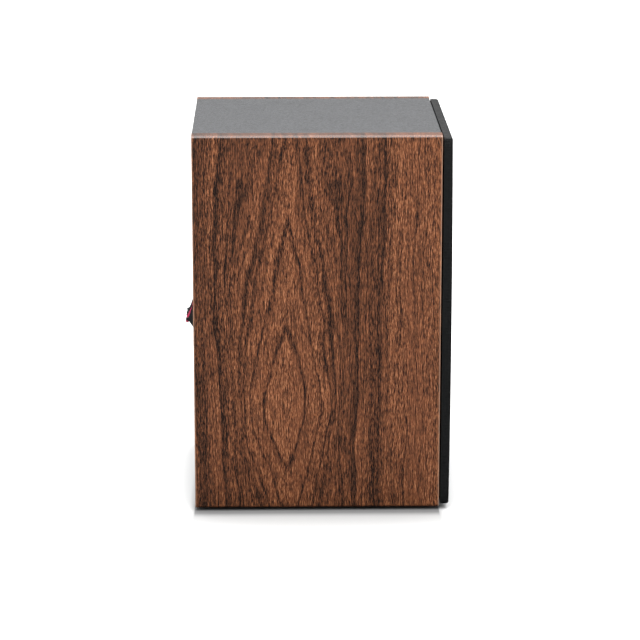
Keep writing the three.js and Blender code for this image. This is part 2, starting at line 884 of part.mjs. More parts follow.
// The soft ring between the dome and the clamped rim.
function tweeterSurround() {
  const flatRadius = domeRollOuter + tweeterFlatWidth;
  const roll = (offset) =>
    along(4, (share) => [
      domeRollInner + domeRollWidth * share,
      tweeterSeatFrom + offset - domeRollHeight * Math.sin(share * Math.PI),
    ]);
  return turned(
    [
      ...roll(0),
      [flatRadius, tweeterSeatFrom],
      [flatRadius, tweeterSeatFrom + domeSkin],
      ...roll(domeSkin).reverse(),
    ],
    mediumRound,
  );
}

function tweeterPieces() {
  const coilOverhang = 1.2;
  const gapRadius = domeRadius + magnetGap;
  const topPlateTo = tweeterMotor + tweeterPlateThickness;
  const magnetTo = tweeterMagnetFrom + tweeterMagnetHeight;
  const dome = domed(domeRadius, tweeterSeatFrom, domeHeight, domeSkin, 5);
  const coil = flatRing(
    domeRadius - tweeterCoilWall,
    domeRadius,
    tweeterSeatFrom + seam,
    topPlateTo + coilOverhang,
    mediumRound,
  );
  const topPlate = flatRing(gapRadius, tweeterPlateRadius, tweeterMotor, topPlateTo, mediumRound);
  const magnet = flatRing(tweeterMagnetBore, tweeterMagnetRadius, tweeterMagnetFrom, magnetTo, mediumRound);
  const pole = polePlate(
    tweeterPoleRadius,
    tweeterPlateRadius,
    tweeterMotor + poleRecess,
    tweeterBackFrom,
    tweeterPlateThickness,
  );
  return [
    piece("tweeter_faceplate", tweeterFaceplate(), "blackPlastic"),
    piece("tweeter_surround", tweeterSurround(), "silk"),
    piece("tweeter_dome", dome, "silk"),
    piece("tweeter_voice_coil", coil, "copper"),
    piece("tweeter_top_plate", topPlate, "steel"),
    piece("tweeter_magnet", magnet, "ferrite"),
    piece("tweeter_back_plate", pole, "steel"),
    ...screws("tweeter_screw_", tweeterScrews),
  ];
}

// ---- Port --------------------------------------------------------------------------------------

// A flared tube. The outer face of the back board is at y = 0, and the tube runs inwards to -Y.
function portTube() {
  const mouthRadius = portCollarRadius + portMouthMargin;
  const outer = portBoreRadius + portWall;
  const flare = along(4, (share) => {
    const angle = (share * Math.PI) / 2;
    const radius = portBoreRadius + (mouthRadius - portBoreRadius) * (1 - Math.sin(angle));
    return [radius, portFlangeThickness - portFlareDepth * (1 - Math.cos(angle))];
  });
  return turned(
    [
      [portFlangeRadius, seam],
      [portFlangeRadius, portFlangeThickness],
      ...flare,
      [portBoreRadius, -portLength],
      [outer, -portLength],
      [outer, -portCollarDepth],
      [portCollarRadius, -portCollarDepth],
      [portCollarRadius, seam],
    ],
    mediumRound,
  );
}

// ---- Terminal ----------------------------------------------------------------------------------

// The outer face of the back board is at y = 0, and the tips of the levers are at z = 0.
const plateBack = plateProud - plateThickness;
const cellHalfWidth = leverWidth / 2 + running;
const cells = [-leverSpacing / 2, leverSpacing / 2];
const hingeZ = leverDrop + leverTipHeight;
const leverShoulderReach = leverHingeReach + leverShoulder;
const leverSlope = (leverReach - leverShoulderReach) / leverDrop;
const windowTop = hingeZ + leverBarrelRadius + running;
const leverEndZ = leverTipHeight - leverEndHeight;
const mouthFloor = leverEndZ - leverTipHeight - wireMouthHeight;
const contactZ = mouthFloor + contactAboveMouth;

function terminalPlateShape(margin) {
  return roundedOutline(
    new THREE.Shape(),
    [-plateWidth / 2 - margin, -plateBelow - margin],
    [plateWidth / 2 + margin, plateAbove + margin],
    plateCornerRound,
    plateCornerRound,
  );
}

function terminalScrews() {
  const z = (plateAbove - plateBelow) / 2;
  const x = (cupHalfWidth + plateWidth / 2) / 2;
  return [
    [-x, z],
    [x, z],
  ];
}

// The walls on either side of a lever, with the holes that its pins turn in. Each follows the slope
// of the lever a little behind its face, and ends in a guard that shields the lever's tip.
function cheeks(x) {
  const inside = plateBack - cupWall - seam;
  const guardRoot = leverReach - leverSlope * (guardTop - leverTipHeight) - cheekBehindLever;
  const guardReach = leverReach - guardBehindLever;
  const outline = [
    [inside, windowTop + leverShoulder],
    [plateProud, windowTop + leverShoulder],
    [leverHingeReach + cheekCrown, hingeZ - leverPinRadius],
    [guardRoot, guardTop],
    [guardReach, guardTop - leverTipHeight],
    [guardReach, guardTop - guardFace],
    [guardReach - guardFoot, 0],
    [plateProud, -cheekBottom],
    [inside, -cheekBottom],
  ];
  return [-1, 1].map((side) => {
    const near = x + side * cellHalfWidth;
    const far = near + side * cheekThickness;
    return bar(outline, Math.min(near, far), Math.max(near, far));
  });
}

function terminalHousing() {
  const body = plate(terminalPlateShape(0), plateBack, plateProud);
  const cup = block([-cupHalfWidth, -cupDepth, -cupBelow], [cupHalfWidth, plateBack + seam, cupAbove]);
  const hollow = block(
    [-cupHalfWidth + cupWall, -cupDepth + cupWall, -cupBelow + cupWall],
    [cupHalfWidth - cupWall, plateBack, cupAbove - cupWall],
  );
  const windows = cells.map((x) =>
    block(
      [x - cellHalfWidth, plateBack - beyond, mouthFloor],
      [x + cellHalfWidth, leverReach + beyond, windowTop],
    ),
  );
  const boreHalfLength = cellHalfWidth + leverPinLength + running;
  const pinHoles = cells.map((x) =>
    axle(leverPinRadius + running, boreHalfLength, x, leverHingeReach, hingeZ, screwRound),
  );
  const slotHalfWidth = contactWidth / 2 + running;
  const slots = cells.map((x) =>
    block(
      [x - slotHalfWidth, -cupDepth - beyond, contactZ - running],
      [x + slotHalfWidth, -cupDepth + cupWall + beyond, contactZ + contactSheet + running],
    ),
  );
  const seats = terminalScrews().flatMap(([x, z]) => [
    rod(screwHeadRadius + seam, plateProud - screwHeadHeight - seam, plateProud + beyond, x, z, smallRound),
    rod(pilotRadius, plateBack - beyond, plateProud + beyond, x, z, screwRound),
  ]);
  const shell = cut(joined(body, [cup]), [hollow, ...windows]);
  return cut(joined(shell, cells.flatMap(cheeks)), [...pinHoles, ...slots, ...seats]);
}

// A lever: a sloping tab on a barrel with two short pins.
function lever() {
  const thick = leverThickness * Math.hypot(1, leverSlope);
  const tab = bar(
    [
      [leverShoulderReach, hingeZ],
      [leverShoulderReach - thick, hingeZ],
      [leverReach - thick, leverTipHeight],
      [leverReach - thick, leverEndZ],
      [leverReach - leverTipHeight, leverEndZ],
      [leverReach, leverTipHeight],
    ],
    -leverWidth / 2,
    leverWidth / 2,
  );
  const barrel = axle(leverBarrelRadius, leverWidth / 2, 0, leverHingeReach, hingeZ, smallRound);
  const pinHalfLength = leverWidth / 2 + leverPinLength;
  const pins = axle(leverPinRadius, pinHalfLength, 0, leverHingeReach, hingeZ, screwRound);
  return joined(tab, [barrel, pins]);
}

// A bent strip: a leaf that grips the wire, and a tab through the back of the cup.
function contact() {
  const leafY = -cupDepth / 2;
  const leafTop = hingeZ - contactBelowHinge;
  const bend = contactZ + contactSheet;
  return bar(
    [
      [leafY, leafTop],
      [leafY - contactSheet, leafTop],
      [leafY - contactSheet, bend],
      [-cupDepth - contactTab, bend],
      [-cupDepth - contactTab, contactZ],
      [leafY, contactZ],
    ],
    -contactWidth / 2,
    contactWidth / 2,
  );
}

function terminalPieces() {
  const [redX, blackX] = cells;
  const fixings = terminalScrews().map(([x, z], i) =>
    piece("terminal_screw_" + (i + 1), screw().rotateX(Math.PI).translate(x, plateProud, z), "blackSteel"),
  );
  return [
    piece("terminal_housing", terminalHousing(), "blackPlastic"),
    piece("terminal_lever_red", lever().translate(redX, 0, 0), "redPlastic"),
    piece("terminal_lever_black", lever().translate(blackX, 0, 0), "blackPlastic"),
    piece("terminal_contact_red", contact().translate(redX, 0, 0), "brass"),
    piece("terminal_contact_black", contact().translate(blackX, 0, 0), "brass"),
    ...fixings,
  ];
}

// ---- Crossover ---------------------------------------------------------------------------------

// The middle of the board is at x = 0, and its top is at z = 0.
const boardY = backInside - boardBehind - boardLength / 2;
const boardZ = boardBottom + spacerHeight + seam + boardThickness;

// A coil wound on a bobbin with two flanges, standing on its end.
function inductor() {
  const neck = inductorRadius - inductorWindingInset;
  const low = seam;
  const high = seam + inductorHeight;
  const profile = [
    [inductorCoreRadius, low],
    [inductorRadius, low],
    [inductorRadius, low + inductorFlange],
    [neck, low + inductorFlange],
    [neck, high - inductorFlange],
    [inductorRadius, high - inductorFlange],
    [inductorRadius, high],
    [inductorCoreRadius, high],
  ];
  return turned(profile, mediumRound).rotateX(Math.PI / 2);
}

function boardSpacer(x) {
  const post = new THREE.CylinderGeometry(spacerRadius, spacerRadius, spacerHeight, smallRound);
  return post.rotateX(Math.PI / 2).translate(x, 0, -boardThickness - seam - spacerHeight / 2);
}

function crossoverPieces() {
  const half = boardLength / 2;
  const board = block([-boardWidth / 2, -half, -boardThickness], [boardWidth / 2, half, 0]);
  const spacerX = boardWidth / 2 - spacerMargin - spacerRadius;
  const inductorY = half - inductorMargin - inductorRadius;
  const capacitorY = capacitorMargin + capacitorRadius - half;
  const capacitor = axle(
    capacitorRadius,
    capacitorLength / 2,
    partsAside,
    capacitorY,
    capacitorRadius + seam,
    smallRound,
  );
  const resistorFrom = resistorBehindMiddle - resistorSide / 2;
  const resistor = block(
    [partsAside - resistorLength / 2, resistorFrom, seam],
    [partsAside + resistorLength / 2, resistorFrom + resistorSide, seam + resistorSide],
  );
  return [
    piece("crossover_board", board, "board"),
    piece("board_spacer_left", boardSpacer(-spacerX), "blackPlastic"),
    piece("board_spacer_right", boardSpacer(spacerX), "blackPlastic"),
    piece("inductor", inductor().translate(-boardWidth / 4, inductorY, 0), "copper"),
    piece("capacitor", capacitor, "film"),
    piece("resistor", resistor, "ceramic"),
  ];
}

// ---- Leads and padding -------------------------------------------------------------------------

// A two-core lead as one round tube along its route, with a step every three diameters.
function lead(points) {
  const route = new THREE.CatmullRomCurve3(points.map(([x, y, z]) => new THREE.Vector3(x, y, z)));
  const section = new THREE.Shape();
  section.absarc(0, 0, leadRadius, 0, 2 * Math.PI);
  const steps = Math.round(route.getLength() / (6 * leadRadius));
  return new THREE.ExtrudeGeometry(section, { extrudePath: route, steps, curveSegments: arcSteps });
}

// Each route is a hand-laid list of points between the two places that the lead is soldered to.
function leadPieces() {
  const boardTopZ = boardZ + seam;
  const tabZ = terminalZ + contactZ;
  const tabY = back - cupDepth - contactTab / 2;
  const basketY = front + basketDepth - 3;
  const tweeterY = front + tweeterRear;
  const inputLead = [
    [0, tabY, tabZ],
    [1, tabY - 6, tabZ - 3],
    [8, tabY - 13, tabZ - 30],
    [13, boardY + 17, boardTopZ + 30],
    [14, boardY + 16, boardTopZ + 10],
    [14, boardY + 16, boardTopZ],
  ];
  const wooferLead = [
    [-26, boardY - 12, boardTopZ],
    [-27, boardY - 12, boardTopZ + 6],
    [-40, boardY - 16, boardTopZ + 22],
    [-spiderRimRadius - 17, basketY + 16, wooferZ - 8],
    [-spiderRimRadius - 11, basketY + 2, wooferZ],
    [-spiderRimRadius - 3, basketY, wooferZ],
    [-spiderRimRadius - 2 * seam, basketY, wooferZ],
  ];
  const tweeterLead = [
    [30, boardY + 8, boardTopZ],
    [31, boardY + 8, boardTopZ + 6],
    [45, boardY + 2, boardTopZ + 28],
    [52, boardY - 12, wooferZ + 40],
    [42, boardY - 26, tweeterZ - 26],
    [14, tweeterY + 16, tweeterZ - 8],
    [6, tweeterY + 5, tweeterZ],
    [6, tweeterY + 2 * seam, tweeterZ],
  ];
  return [
    piece("input_lead", lead(inputLead), "blackPlastic"),
    piece("woofer_lead", lead(wooferLead), "blackPlastic"),
    piece("tweeter_lead", lead(tweeterLead), "blackPlastic"),
  ];
}

// A batt of polyester wadding glued under the top board.
function padding() {
  const halfWidth = innerHalfWidth - paddingSide;
  const shape = roundedOutline(
    new THREE.Shape(),
    [-halfWidth, front + baffleThickness + 2 * paddingSide],
    [halfWidth, backInside - paddingSide],
    paddingSide,
    paddingSide,
  );
  return slab(shape, boardTop - paddingThickness, boardTop);
}

// ---- The whole speaker -------------------------------------------------------------------------

const middle = (leverReach - grilleGap - grilleThickness) / 2;
const speaker = assembly(0, -middle, 0, [
  ...cabinetPieces(),
  assembly(0, front, 0, grillePieces()),
  assembly(0, front, wooferZ, wooferPieces()),
  assembly(0, front, tweeterZ, tweeterPieces()),
  assembly(0, back, portZ, [piece("port_tube", portTube(), "blackPlastic")]),
  assembly(0, back, terminalZ, terminalPieces()),
  assembly(0, boardY, boardZ, crossoverPieces()),
  ...leadPieces(),
  piece("damping_pad", padding(), "wadding"),
]);

export default speaker;
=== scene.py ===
import math

import bpy
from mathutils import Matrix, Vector


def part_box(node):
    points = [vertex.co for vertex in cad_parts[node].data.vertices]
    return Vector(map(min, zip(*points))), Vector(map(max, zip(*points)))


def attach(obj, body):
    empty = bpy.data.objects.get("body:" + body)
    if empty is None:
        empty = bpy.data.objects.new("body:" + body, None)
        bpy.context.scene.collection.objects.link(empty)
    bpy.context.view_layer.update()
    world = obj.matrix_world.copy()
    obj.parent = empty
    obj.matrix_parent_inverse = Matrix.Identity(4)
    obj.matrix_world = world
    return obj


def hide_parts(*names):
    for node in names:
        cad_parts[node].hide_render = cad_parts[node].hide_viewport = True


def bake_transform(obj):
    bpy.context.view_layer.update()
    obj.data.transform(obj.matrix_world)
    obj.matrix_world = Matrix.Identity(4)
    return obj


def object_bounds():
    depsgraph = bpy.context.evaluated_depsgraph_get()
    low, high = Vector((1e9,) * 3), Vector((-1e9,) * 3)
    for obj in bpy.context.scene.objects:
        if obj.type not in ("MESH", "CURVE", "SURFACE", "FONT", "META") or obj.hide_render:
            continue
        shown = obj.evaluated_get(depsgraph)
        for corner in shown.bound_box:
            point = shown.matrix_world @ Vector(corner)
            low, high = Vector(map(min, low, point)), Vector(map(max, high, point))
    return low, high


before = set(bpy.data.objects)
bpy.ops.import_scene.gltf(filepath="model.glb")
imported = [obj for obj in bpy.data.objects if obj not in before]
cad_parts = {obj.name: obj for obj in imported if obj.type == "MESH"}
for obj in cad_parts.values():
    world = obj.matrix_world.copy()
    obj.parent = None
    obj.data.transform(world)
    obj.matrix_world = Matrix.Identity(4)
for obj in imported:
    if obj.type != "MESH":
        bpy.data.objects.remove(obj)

cad_low, cad_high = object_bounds()

# ---- Camera ------------------------------------------------------------------------------------

# A long lens stands a metre and a half off the walnut side, a little above the cabinet, so that
# the side is nearly square to it and the top shows as a narrow strip.
bpy.ops.object.select_all(action="DESELECT")
bpy.ops.object.camera_add(location=(-1.62445, 0.02744, 0.5130))
camera = bpy.context.object
aim = Vector((cad_low.x, -0.00197, 0.12206))
camera.rotation_euler = (aim - camera.location).to_track_quat("-Z", "Y").to_euler()
camera.data.lens = 147.68
bpy.context.scene.camera = camera

# ---- Floor and light ---------------------------------------------------------------------------

# The speaker stands on a wide white sweep with a painted contact shadow: its colour is greyer
# close around its foot. A large overhead softbox and a long strip above the camera light it, under
# a pale ceiling with a dim skyline.


def grey(share):
    return (share, share, share, 1)


def shades(material_nodes, *stops):
    """A scale of greys in a material or a room, as (position, share of white) pairs."""
    scale = material_nodes.new("ShaderNodeValToRGB")
    while len(scale.color_ramp.elements) < len(stops):
        scale.color_ramp.elements.new(1.0)
    for element, (position, share) in zip(scale.color_ramp.elements, stops):
        element.position = position
        element.color = grey(share)
    return scale


bpy.ops.mesh.primitive_plane_add(size=14, location=(0, 0, 0))
floor = bpy.context.object
floor.name = "studio_floor"
floor_paint = bpy.data.materials.new("floor_paint")
floor_paint.use_nodes = True
floor_nodes = floor_paint.node_tree.nodes
floor_wires = floor_paint.node_tree.links
floor_shader = floor_nodes["Principled BSDF"]

# The painted shadow's grey goes by the distance from the cabinet's foot, and fades twelve times
# faster off its ends.
foot = Vector((cad_high.x, 0.92 * cad_high.y, 0.0))
end_fade = (1, 12, 0)
outward = (("ABSOLUTE", foot), ("SUBTRACT", foot), ("MAXIMUM", (0, 0, 0)), ("MULTIPLY", end_fade))
around_foot = floor_nodes.new("ShaderNodeTexCoord").outputs["Object"]
for operation, other in outward:
    floor_step = floor_nodes.new("ShaderNodeVectorMath")
    floor_step.operation = operation
    floor_step.inputs[1].default_value = other
    floor_wires.new(around_foot, floor_step.inputs[0])
    around_foot = floor_step.outputs["Vector"]
floor_distance = floor_nodes.new("ShaderNodeVectorMath")
floor_distance.operation = "LENGTH"
# A painted shadow: the floor's white darkens towards the cabinet's foot.
painted_floor_shadow = shades(
    floor_nodes, (0.0035, 0.15), (0.0065, 0.25), (0.012, 0.36), (0.045, 0.52), (0.15, 0.62), (0.85, 0.92)
)
floor_wires.new(around_foot, floor_distance.inputs[0])
floor_wires.new(floor_distance.outputs["Value"], painted_floor_shadow.inputs["Fac"])
floor_wires.new(painted_floor_shadow.outputs["Color"], floor_shader.inputs["Base Color"])
floor_shader.inputs["Roughness"].default_value = 0.9
floor_shader.inputs["Specular IOR Level"].default_value = 0.1
floor.data.materials.append(floor_paint)
floor.visible_glossy = False


def softbox(name, place, target, width, height, power):
    """A rectangular lamp that faces a point."""
    bpy.ops.object.light_add(type="AREA", location=place)
    lamp = bpy.context.object
    lamp.name = name
    lamp.rotation_euler = (Vector(target) - lamp.location).to_track_quat("-Z", "Y").to_euler()
    lamp.data.shape = "RECTANGLE"
    lamp.data.size = width
    lamp.data.size_y = height
    lamp.data.energy = power
    return lamp


softbox("overhead_softbox", (-0.25, 0, 1.5), (0, 0, 0.2), 1.6, 2.4, 60)
softbox("strip_softbox", (-1.7, 0.2, 1.45), (0, 0, 0.15), 2.6, 0.5, 22)

room = bpy.data.worlds.new("pale_room")
room.use_nodes = True
bpy.context.scene.world = room
room_nodes = room.node_tree.nodes
room_wires = room.node_tree.links
direction = room_nodes.new("ShaderNodeTexCoord")
height_of = room_nodes.new("ShaderNodeSeparateXYZ")
wall_to_ceiling = shades(room_nodes, (0.0, 0.02), (0.10, 0.42), (0.42, 1.0))
room_wires.new(direction.outputs["Generated"], height_of.inputs["Vector"])
room_wires.new(height_of.outputs["Z"], wall_to_ceiling.inputs["Fac"])
room_wires.new(wall_to_ceiling.outputs["Color"], room_nodes["Background"].inputs["Color"])
room_nodes["Background"].inputs["Strength"].default_value = 1.2
bpy.context.scene.view_settings.view_transform = "Standard"

# ---- Side boards -------------------------------------------------------------------------------

# Two chipboard sides wrapped in one sheet of printed walnut vinyl with a satin emboss. The vinyl
# turns over the outer edges, which are rounded before it is pressed on; the grain stands upright.
mm = 0.001


def tint(code):
    """A colour written as six hex digits, as a shader wants it."""
    shares = [int(code[i : i + 2], 16) / 255 for i in (0, 2, 4)]
    linear = [((s + 0.055) / 1.055) ** 2.4 if s > 0.04045 else s / 12.92 for s in shares]
    return (*linear, 1)


def new_finish(name, **fixed):
    """Starts a material. Values that are the same all over go straight on its shader."""
    global finish, nodes, wires, shader
    finish = bpy.data.materials.new(name)
    finish.use_nodes = True
    nodes = finish.node_tree.nodes
    wires = finish.node_tree.links
    shader = nodes["Principled BSDF"]
    for socket, value in fixed.items():
        shader.inputs[socket.replace("_", " ")].default_value = value
    return finish


def step(kind, *values, **settings):
    """Adds a node to the finish in hand, with a number or another node's output in each socket."""
    made = nodes.new("ShaderNode" + kind)
    sockets = settings.pop("sockets", {})
    for setting, value in settings.items():
        setattr(made, setting, value)
    for socket, value in [*enumerate(values), *sockets.items()]:
        if isinstance(value, bpy.types.NodeSocket):
            wires.new(value, made.inputs[socket])
        elif value is not None:
            made.inputs[socket].default_value = value
    return made.outputs


def place():
    """Where a point is on the object, in metres."""
    return step("TexCoord")["Object"]


def sum_of(operation, *values):
    return step("Math", *values, operation=operation)[0]


def stretched(vector, x, y, z):
    return step("VectorMath", vector, (x, y, z), operation="MULTIPLY")[0]


def noise(vector, scale=1.0, detail=3.0, roughness=0.5):
    sockets = {"Vector": vector, "Scale": scale, "Detail": detail, "Roughness": roughness}
    return step("TexNoise", sockets=sockets)[0]


def ramp(share, *stops):
    """Shades along a scale, as (position, colour) pairs."""
    made = step("ValToRGB", share)[0]
    scale = made.node.color_ramp
    while len(scale.elements) < len(stops):
        scale.elements.new(1.0)
    for element, (position, colour) in zip(scale.elements, stops):
        element.position = position
        element.color = colour
    return made


def spread(value, low, high, to_low, to_high):
    return step("MapRange", value, low, high, to_low, to_high)[0]


def blend_of(share, first, second):
    return step("MixRGB", share, first, second)[0]


def inset(place_along, low, high):
    """How far a place lies inside the nearer of two ends."""
    return sum_of("MINIMUM", sum_of("SUBTRACT", place_along, low), sum_of("SUBTRACT", high, place_along))


def raised(height, depth, strength=1.0):
    """Relief of the surface: a height from 0 to 1 times a depth in metres."""
    sockets = {"Strength": strength, "Distance": depth, "Height": height}
    wires.new(step("Bump", sockets=sockets)[0], shader.inputs["Normal"])


def coloured(output):
    wires.new(output, shader.inputs["Base Color"])


def polished(value, low, high):
    """Roughness that varies with a value from 0 to 1."""
    wires.new(spread(value, 0.3, 0.7, low, high), shader.inputs["Roughness"])


def loops_around(across, along):
    """Pointed loops around a heart, by millimetres beside and above it. They are long and slender
    above, shorter below, and run out into straight lines at the sides."""
    blunt = 64.0
    corner = 1.3
    aside = sum_of("ABSOLUTE", across)
    squared = sum_of("MULTIPLY_ADD", along, along, blunt)
    above = sum_of("MULTIPLY_ADD", sum_of("POWER", squared, 0.207), 4.70, -11.12)
    below = sum_of("MULTIPLY_ADD", sum_of("POWER", squared, 0.328), 1.75, -6.85)
    reach = sum_of("MAXIMUM", spread(along, -6.0, 6.0, below, above), 0.0)
    loop = sum_of("ADD", sum_of("POWER", aside, corner), sum_of("POWER", reach, corner))
    loop = sum_of("POWER", loop, 1 / corner)
    outer = step("MapRange", aside, 18.0, 36.0, 0.0, 1.0, interpolation_type="SMOOTHSTEP")[0]
    return aside, spread(outer, 0.0, 1.0, loop, sum_of("ADD", aside, 6.0))


def walnut(name, heart_y, heart_z, low, high):
    """Walnut vinyl whose figure closes in pointed loops around a heart, in millimetres. A painted
    highlight makes it paler along the front and rear edges of a board's face, where it turns over them."""
    made = new_finish(name, Specular_IOR_Level=0.1, Coat_Weight=0.45, Coat_Roughness=0.2, Coat_IOR=1.9)
    where = place()
    parts = step("SeparateXYZ", where)
    drift = noise(stretched(where, 9, 9, 7), detail=1.5)
    wobble = noise(stretched(where, 60, 60, 30), detail=2.0)
    across = sum_of("MULTIPLY_ADD", parts["Y"], 1000.0, -heart_y)
    across = sum_of("ADD", across, spread(drift, 0.3, 0.7, -3.2, 3.2))
    across = sum_of("ADD", across, spread(wobble, 0.3, 0.7, -1.5, 1.5))
    along = sum_of("MULTIPLY_ADD", parts["Z"], 1000.0, -heart_z)
    aside, ring = loops_around(across, along)

    # Growth rings: fine dark lines at set distances from the heart, finer ones towards the sides,
    # and soft broad bands. The lines stop where the vinyl turns over an end.
    widest_ring = 90.0
    lines = ramp(
        sum_of("DIVIDE", ring, widest_ring),
        (0.125, grey(0)),
        (0.143, grey(0.9)),
        (0.152, grey(0)),
        (0.236, grey(0)),
        (0.250, grey(0.85)),
        (0.259, grey(0)),
        (0.312, grey(0.1)),
        (0.328, grey(0.75)),
        (0.337, grey(0.05)),
        (0.372, grey(0.65)),
        (0.382, grey(0.1)),
        (0.455, grey(0.25)),
        (0.465, grey(0)),
        (0.540, grey(0.8)),
        (0.552, grey(0)),
        (0.700, grey(0.7)),
        (0.712, grey(0)),
    )
    upright = step("CombineXYZ", ring, parts["X"], sum_of("MULTIPLY", along, 0.004))[0]
    bands = noise(upright, scale=0.16, detail=3.0)
    fine_rings = noise(upright, scale=0.75, detail=2.0, roughness=0.6)
    year_lines = noise(upright, scale=1.5, detail=2.0, roughness=0.5)
    year_lines = spread(year_lines, 0.53, 0.63, 0.0, 1.0)
    years = sum_of("MULTIPLY", year_lines, spread(aside, 12.0, 34.0, 0.05, 0.34))
    figure = sum_of("ADD", sum_of("MULTIPLY", lines, 0.46), years)
    from_end = inset(parts["Y"], low.y, high.y)
    figure = sum_of("MULTIPLY", figure, spread(from_end, 0.2 * mm, 1.0 * mm, 0.0, 1.0))

    # Pores: short upright strokes, dark and light, gathered in bands.
    sway = 1.2 * mm
    swayed = step("CombineXYZ", parts["X"], spread(wobble, 0, 1, -sway, sway), 0.0)[0]
    swayed = step("VectorMath", where, swayed, operation="ADD")[0]
    pores = noise(stretched(swayed, 1400, 3400, 400), detail=2.0, roughness=0.5)
    strokes = noise(stretched(swayed, 900, 2600, 100), detail=2.0, roughness=0.6)
    gathered = noise(stretched(where, 40, 75, 4), detail=1.0)

    tone = sum_of("ADD", spread(bands, 0.3, 0.7, 0.40, 0.56), spread(fine_rings, 0.3, 0.7, -0.05, 0.05))
    tone = sum_of("ADD", tone, spread(strokes, 0.3, 0.7, -0.28, 0.28))
    depth = spread(gathered, 0.35, 0.65, 0.27, 0.42)
    tone = sum_of("ADD", tone, sum_of("MULTIPLY", depth, spread(pores, 0.35, 0.65, -1.0, 1.0)))
    tone = sum_of("SUBTRACT", tone, figure)
    wood = ramp(
        tone,
        (0.0, tint("190c06")),
        (0.28, tint("3b2111")),
        (0.50, tint("57301a")),
        (0.74, tint("734428")),
        (1.0, tint("966341")),
    )
    from_edge = sum_of("MAXIMUM", from_end, inset(parts["X"], low.x, high.x))
    # Painted highlight: the colour turns pale within about a millimetre of the front and rear edges.
    painted_edge_highlight = spread(from_edge, 0.2 * mm, 0.9 * mm, 0.45, 0.0)
    coloured(blend_of(painted_edge_highlight, wood, tint("9c7d68")))
    polished(pores, 0.55, 0.65)
    raised(sum_of("ADD", pores, sum_of("MULTIPLY", strokes, 0.6)), 0.06 * mm, 0.4)
    return made


def board(name, node, edge=0.3 * mm, steps=2):
    """A board of a CAD board's size, with its edges broken."""
    low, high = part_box(node)
    bpy.ops.object.select_all(action="DESELECT")
    bpy.ops.mesh.primitive_cube_add(size=1, location=(low + high) / 2, scale=high - low)
    made = bpy.context.object
    made.name = made.data.name = name
    bpy.ops.object.transform_apply(location=True, rotation=True, scale=True)
    if edge:
        rounded(made, edge, steps)
    return made


def rounded(piece, width, steps=2, angle=30):
    """Breaks every sharp edge of a piece."""
    bevel = piece.modifiers.new("broken_edges", "BEVEL")
    bevel.width = width
    bevel.segments = steps
    bevel.limit_method = "ANGLE"
    bevel.angle_limit = math.radians(angle)
    only(piece)
    bpy.ops.object.modifier_apply(modifier=bevel.name)
    bpy.ops.object.shade_smooth_by_angle(angle=math.radians(50))
    flat = piece.modifiers.new("flat_faces", "WEIGHTED_NORMAL")
    flat.keep_sharp = True
    bpy.ops.object.modifier_apply(modifier=flat.name)
    return piece


def only(piece):
    """Selects one piece and nothing else."""
    bpy.ops.object.select_all(action="DESELECT")
    piece.select_set(True)
    bpy.context.view_layer.objects.active = piece


def bevelled(piece, width, steps, chosen):
    """Rounds the edges whose two ends both pass a test."""
    only(piece)
    bpy.ops.object.mode_set(mode="EDIT")
    bpy.ops.mesh.select_mode(type="EDGE")
    bpy.ops.mesh.select_all(action="DESELECT")
    bpy.ops.object.mode_set(mode="OBJECT")
    points = piece.data.vertices
    for edge in piece.data.edges:
        edge.select = chosen(*(points[i].co for i in edge.vertices))
    bpy.ops.object.mode_set(mode="EDIT")
    bpy.ops.mesh.bevel(offset=width, segments=steps, affect="EDGES")
    bpy.ops.object.mode_set(mode="OBJECT")


def fit(piece, finish, slot, body, *stands_for):
    """Gives a piece its finish, its body and the CAD nodes that it stands for."""
    piece.data.materials.clear()
    piece.data.materials.append(finish)
    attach(piece, body)
    if stands_for:
        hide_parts(*stands_for)
    return piece


touching = 0.01 * mm
upright_length = 100 * mm
hearts = {"left": (17.0, 67.0), "right": (-12.0, 122.0)}
for side, heart in hearts.items():
    node = "side_board_" + side
    panel = board("walnut_side_" + side, node, edge=0)
    low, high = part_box(node)
    vinyl = walnut("walnut_" + side, *heart, low, high)
    outer_x = low.x if side == "left" else high.x

    def on_outer_face(a, b):
        return abs(a.x - outer_x) + abs(b.x - outer_x) < touching

    bevelled(panel, 1.9 * mm, 6, lambda a, b: on_outer_face(a, b) and abs(a.z - b.z) < touching)
    bevelled(panel, 0.9 * mm, 4, lambda a, b: on_outer_face(a, b) and abs(a.z - b.z) > upright_length)
    rounded(panel, 0.15 * mm, 1, angle=40)
    fit(panel, vinyl, "walnut_vinyl", "cabinet", node)

# ---- Top, bottom and back boards ---------------------------------------------------------------

# The deck boards and the back are the same chipboard under plain black vinyl with a fine leather
# grain. They are glued between the sides, with a hairline joint.


def black_vinyl():
    """Thin black vinyl, embossed like fine leather, greyer on the tops of its grain."""
    made = new_finish("black_grained_vinyl", Specular_IOR_Level=0.66)
    where = place()
    cells = step("TexVoronoi", sockets={"Vector": where, "Scale": 560.0})["Distance"]
    grain = noise(where, 460.0, detail=5.0, roughness=0.85)
    cloud = noise(where, 60.0, detail=2.0)
    speckle = sum_of("ADD", sum_of("MULTIPLY", cells, 0.6), sum_of("MULTIPLY", grain, 0.6))
    shade = ramp(speckle, (0.35, tint("3a3c3f")), (0.6, tint("26272a")), (0.8, tint("151617")))
    coloured(blend_of(0.25, shade, ramp(cloud, (0.3, tint("242528")), (0.7, tint("36373a")))))
    polished(grain, 0.26, 0.52)
    raised(speckle, 0.8 * mm)
    return made


def softened(name, node, width, steps=2):
    """A copy of a CAD node as clean flat faces, with its edges broken."""
    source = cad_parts[node]
    made = bpy.data.objects.new(name, source.data.copy())
    bpy.context.scene.collection.objects.link(made)
    only(made)
    bpy.ops.object.mode_set(mode="EDIT")
    bpy.ops.mesh.select_all(action="SELECT")
    bpy.ops.mesh.remove_doubles(threshold=0.002 * mm)
    bpy.ops.mesh.dissolve_limited(angle_limit=math.radians(1))
    bpy.ops.object.mode_set(mode="OBJECT")
    return rounded(made, width, steps)


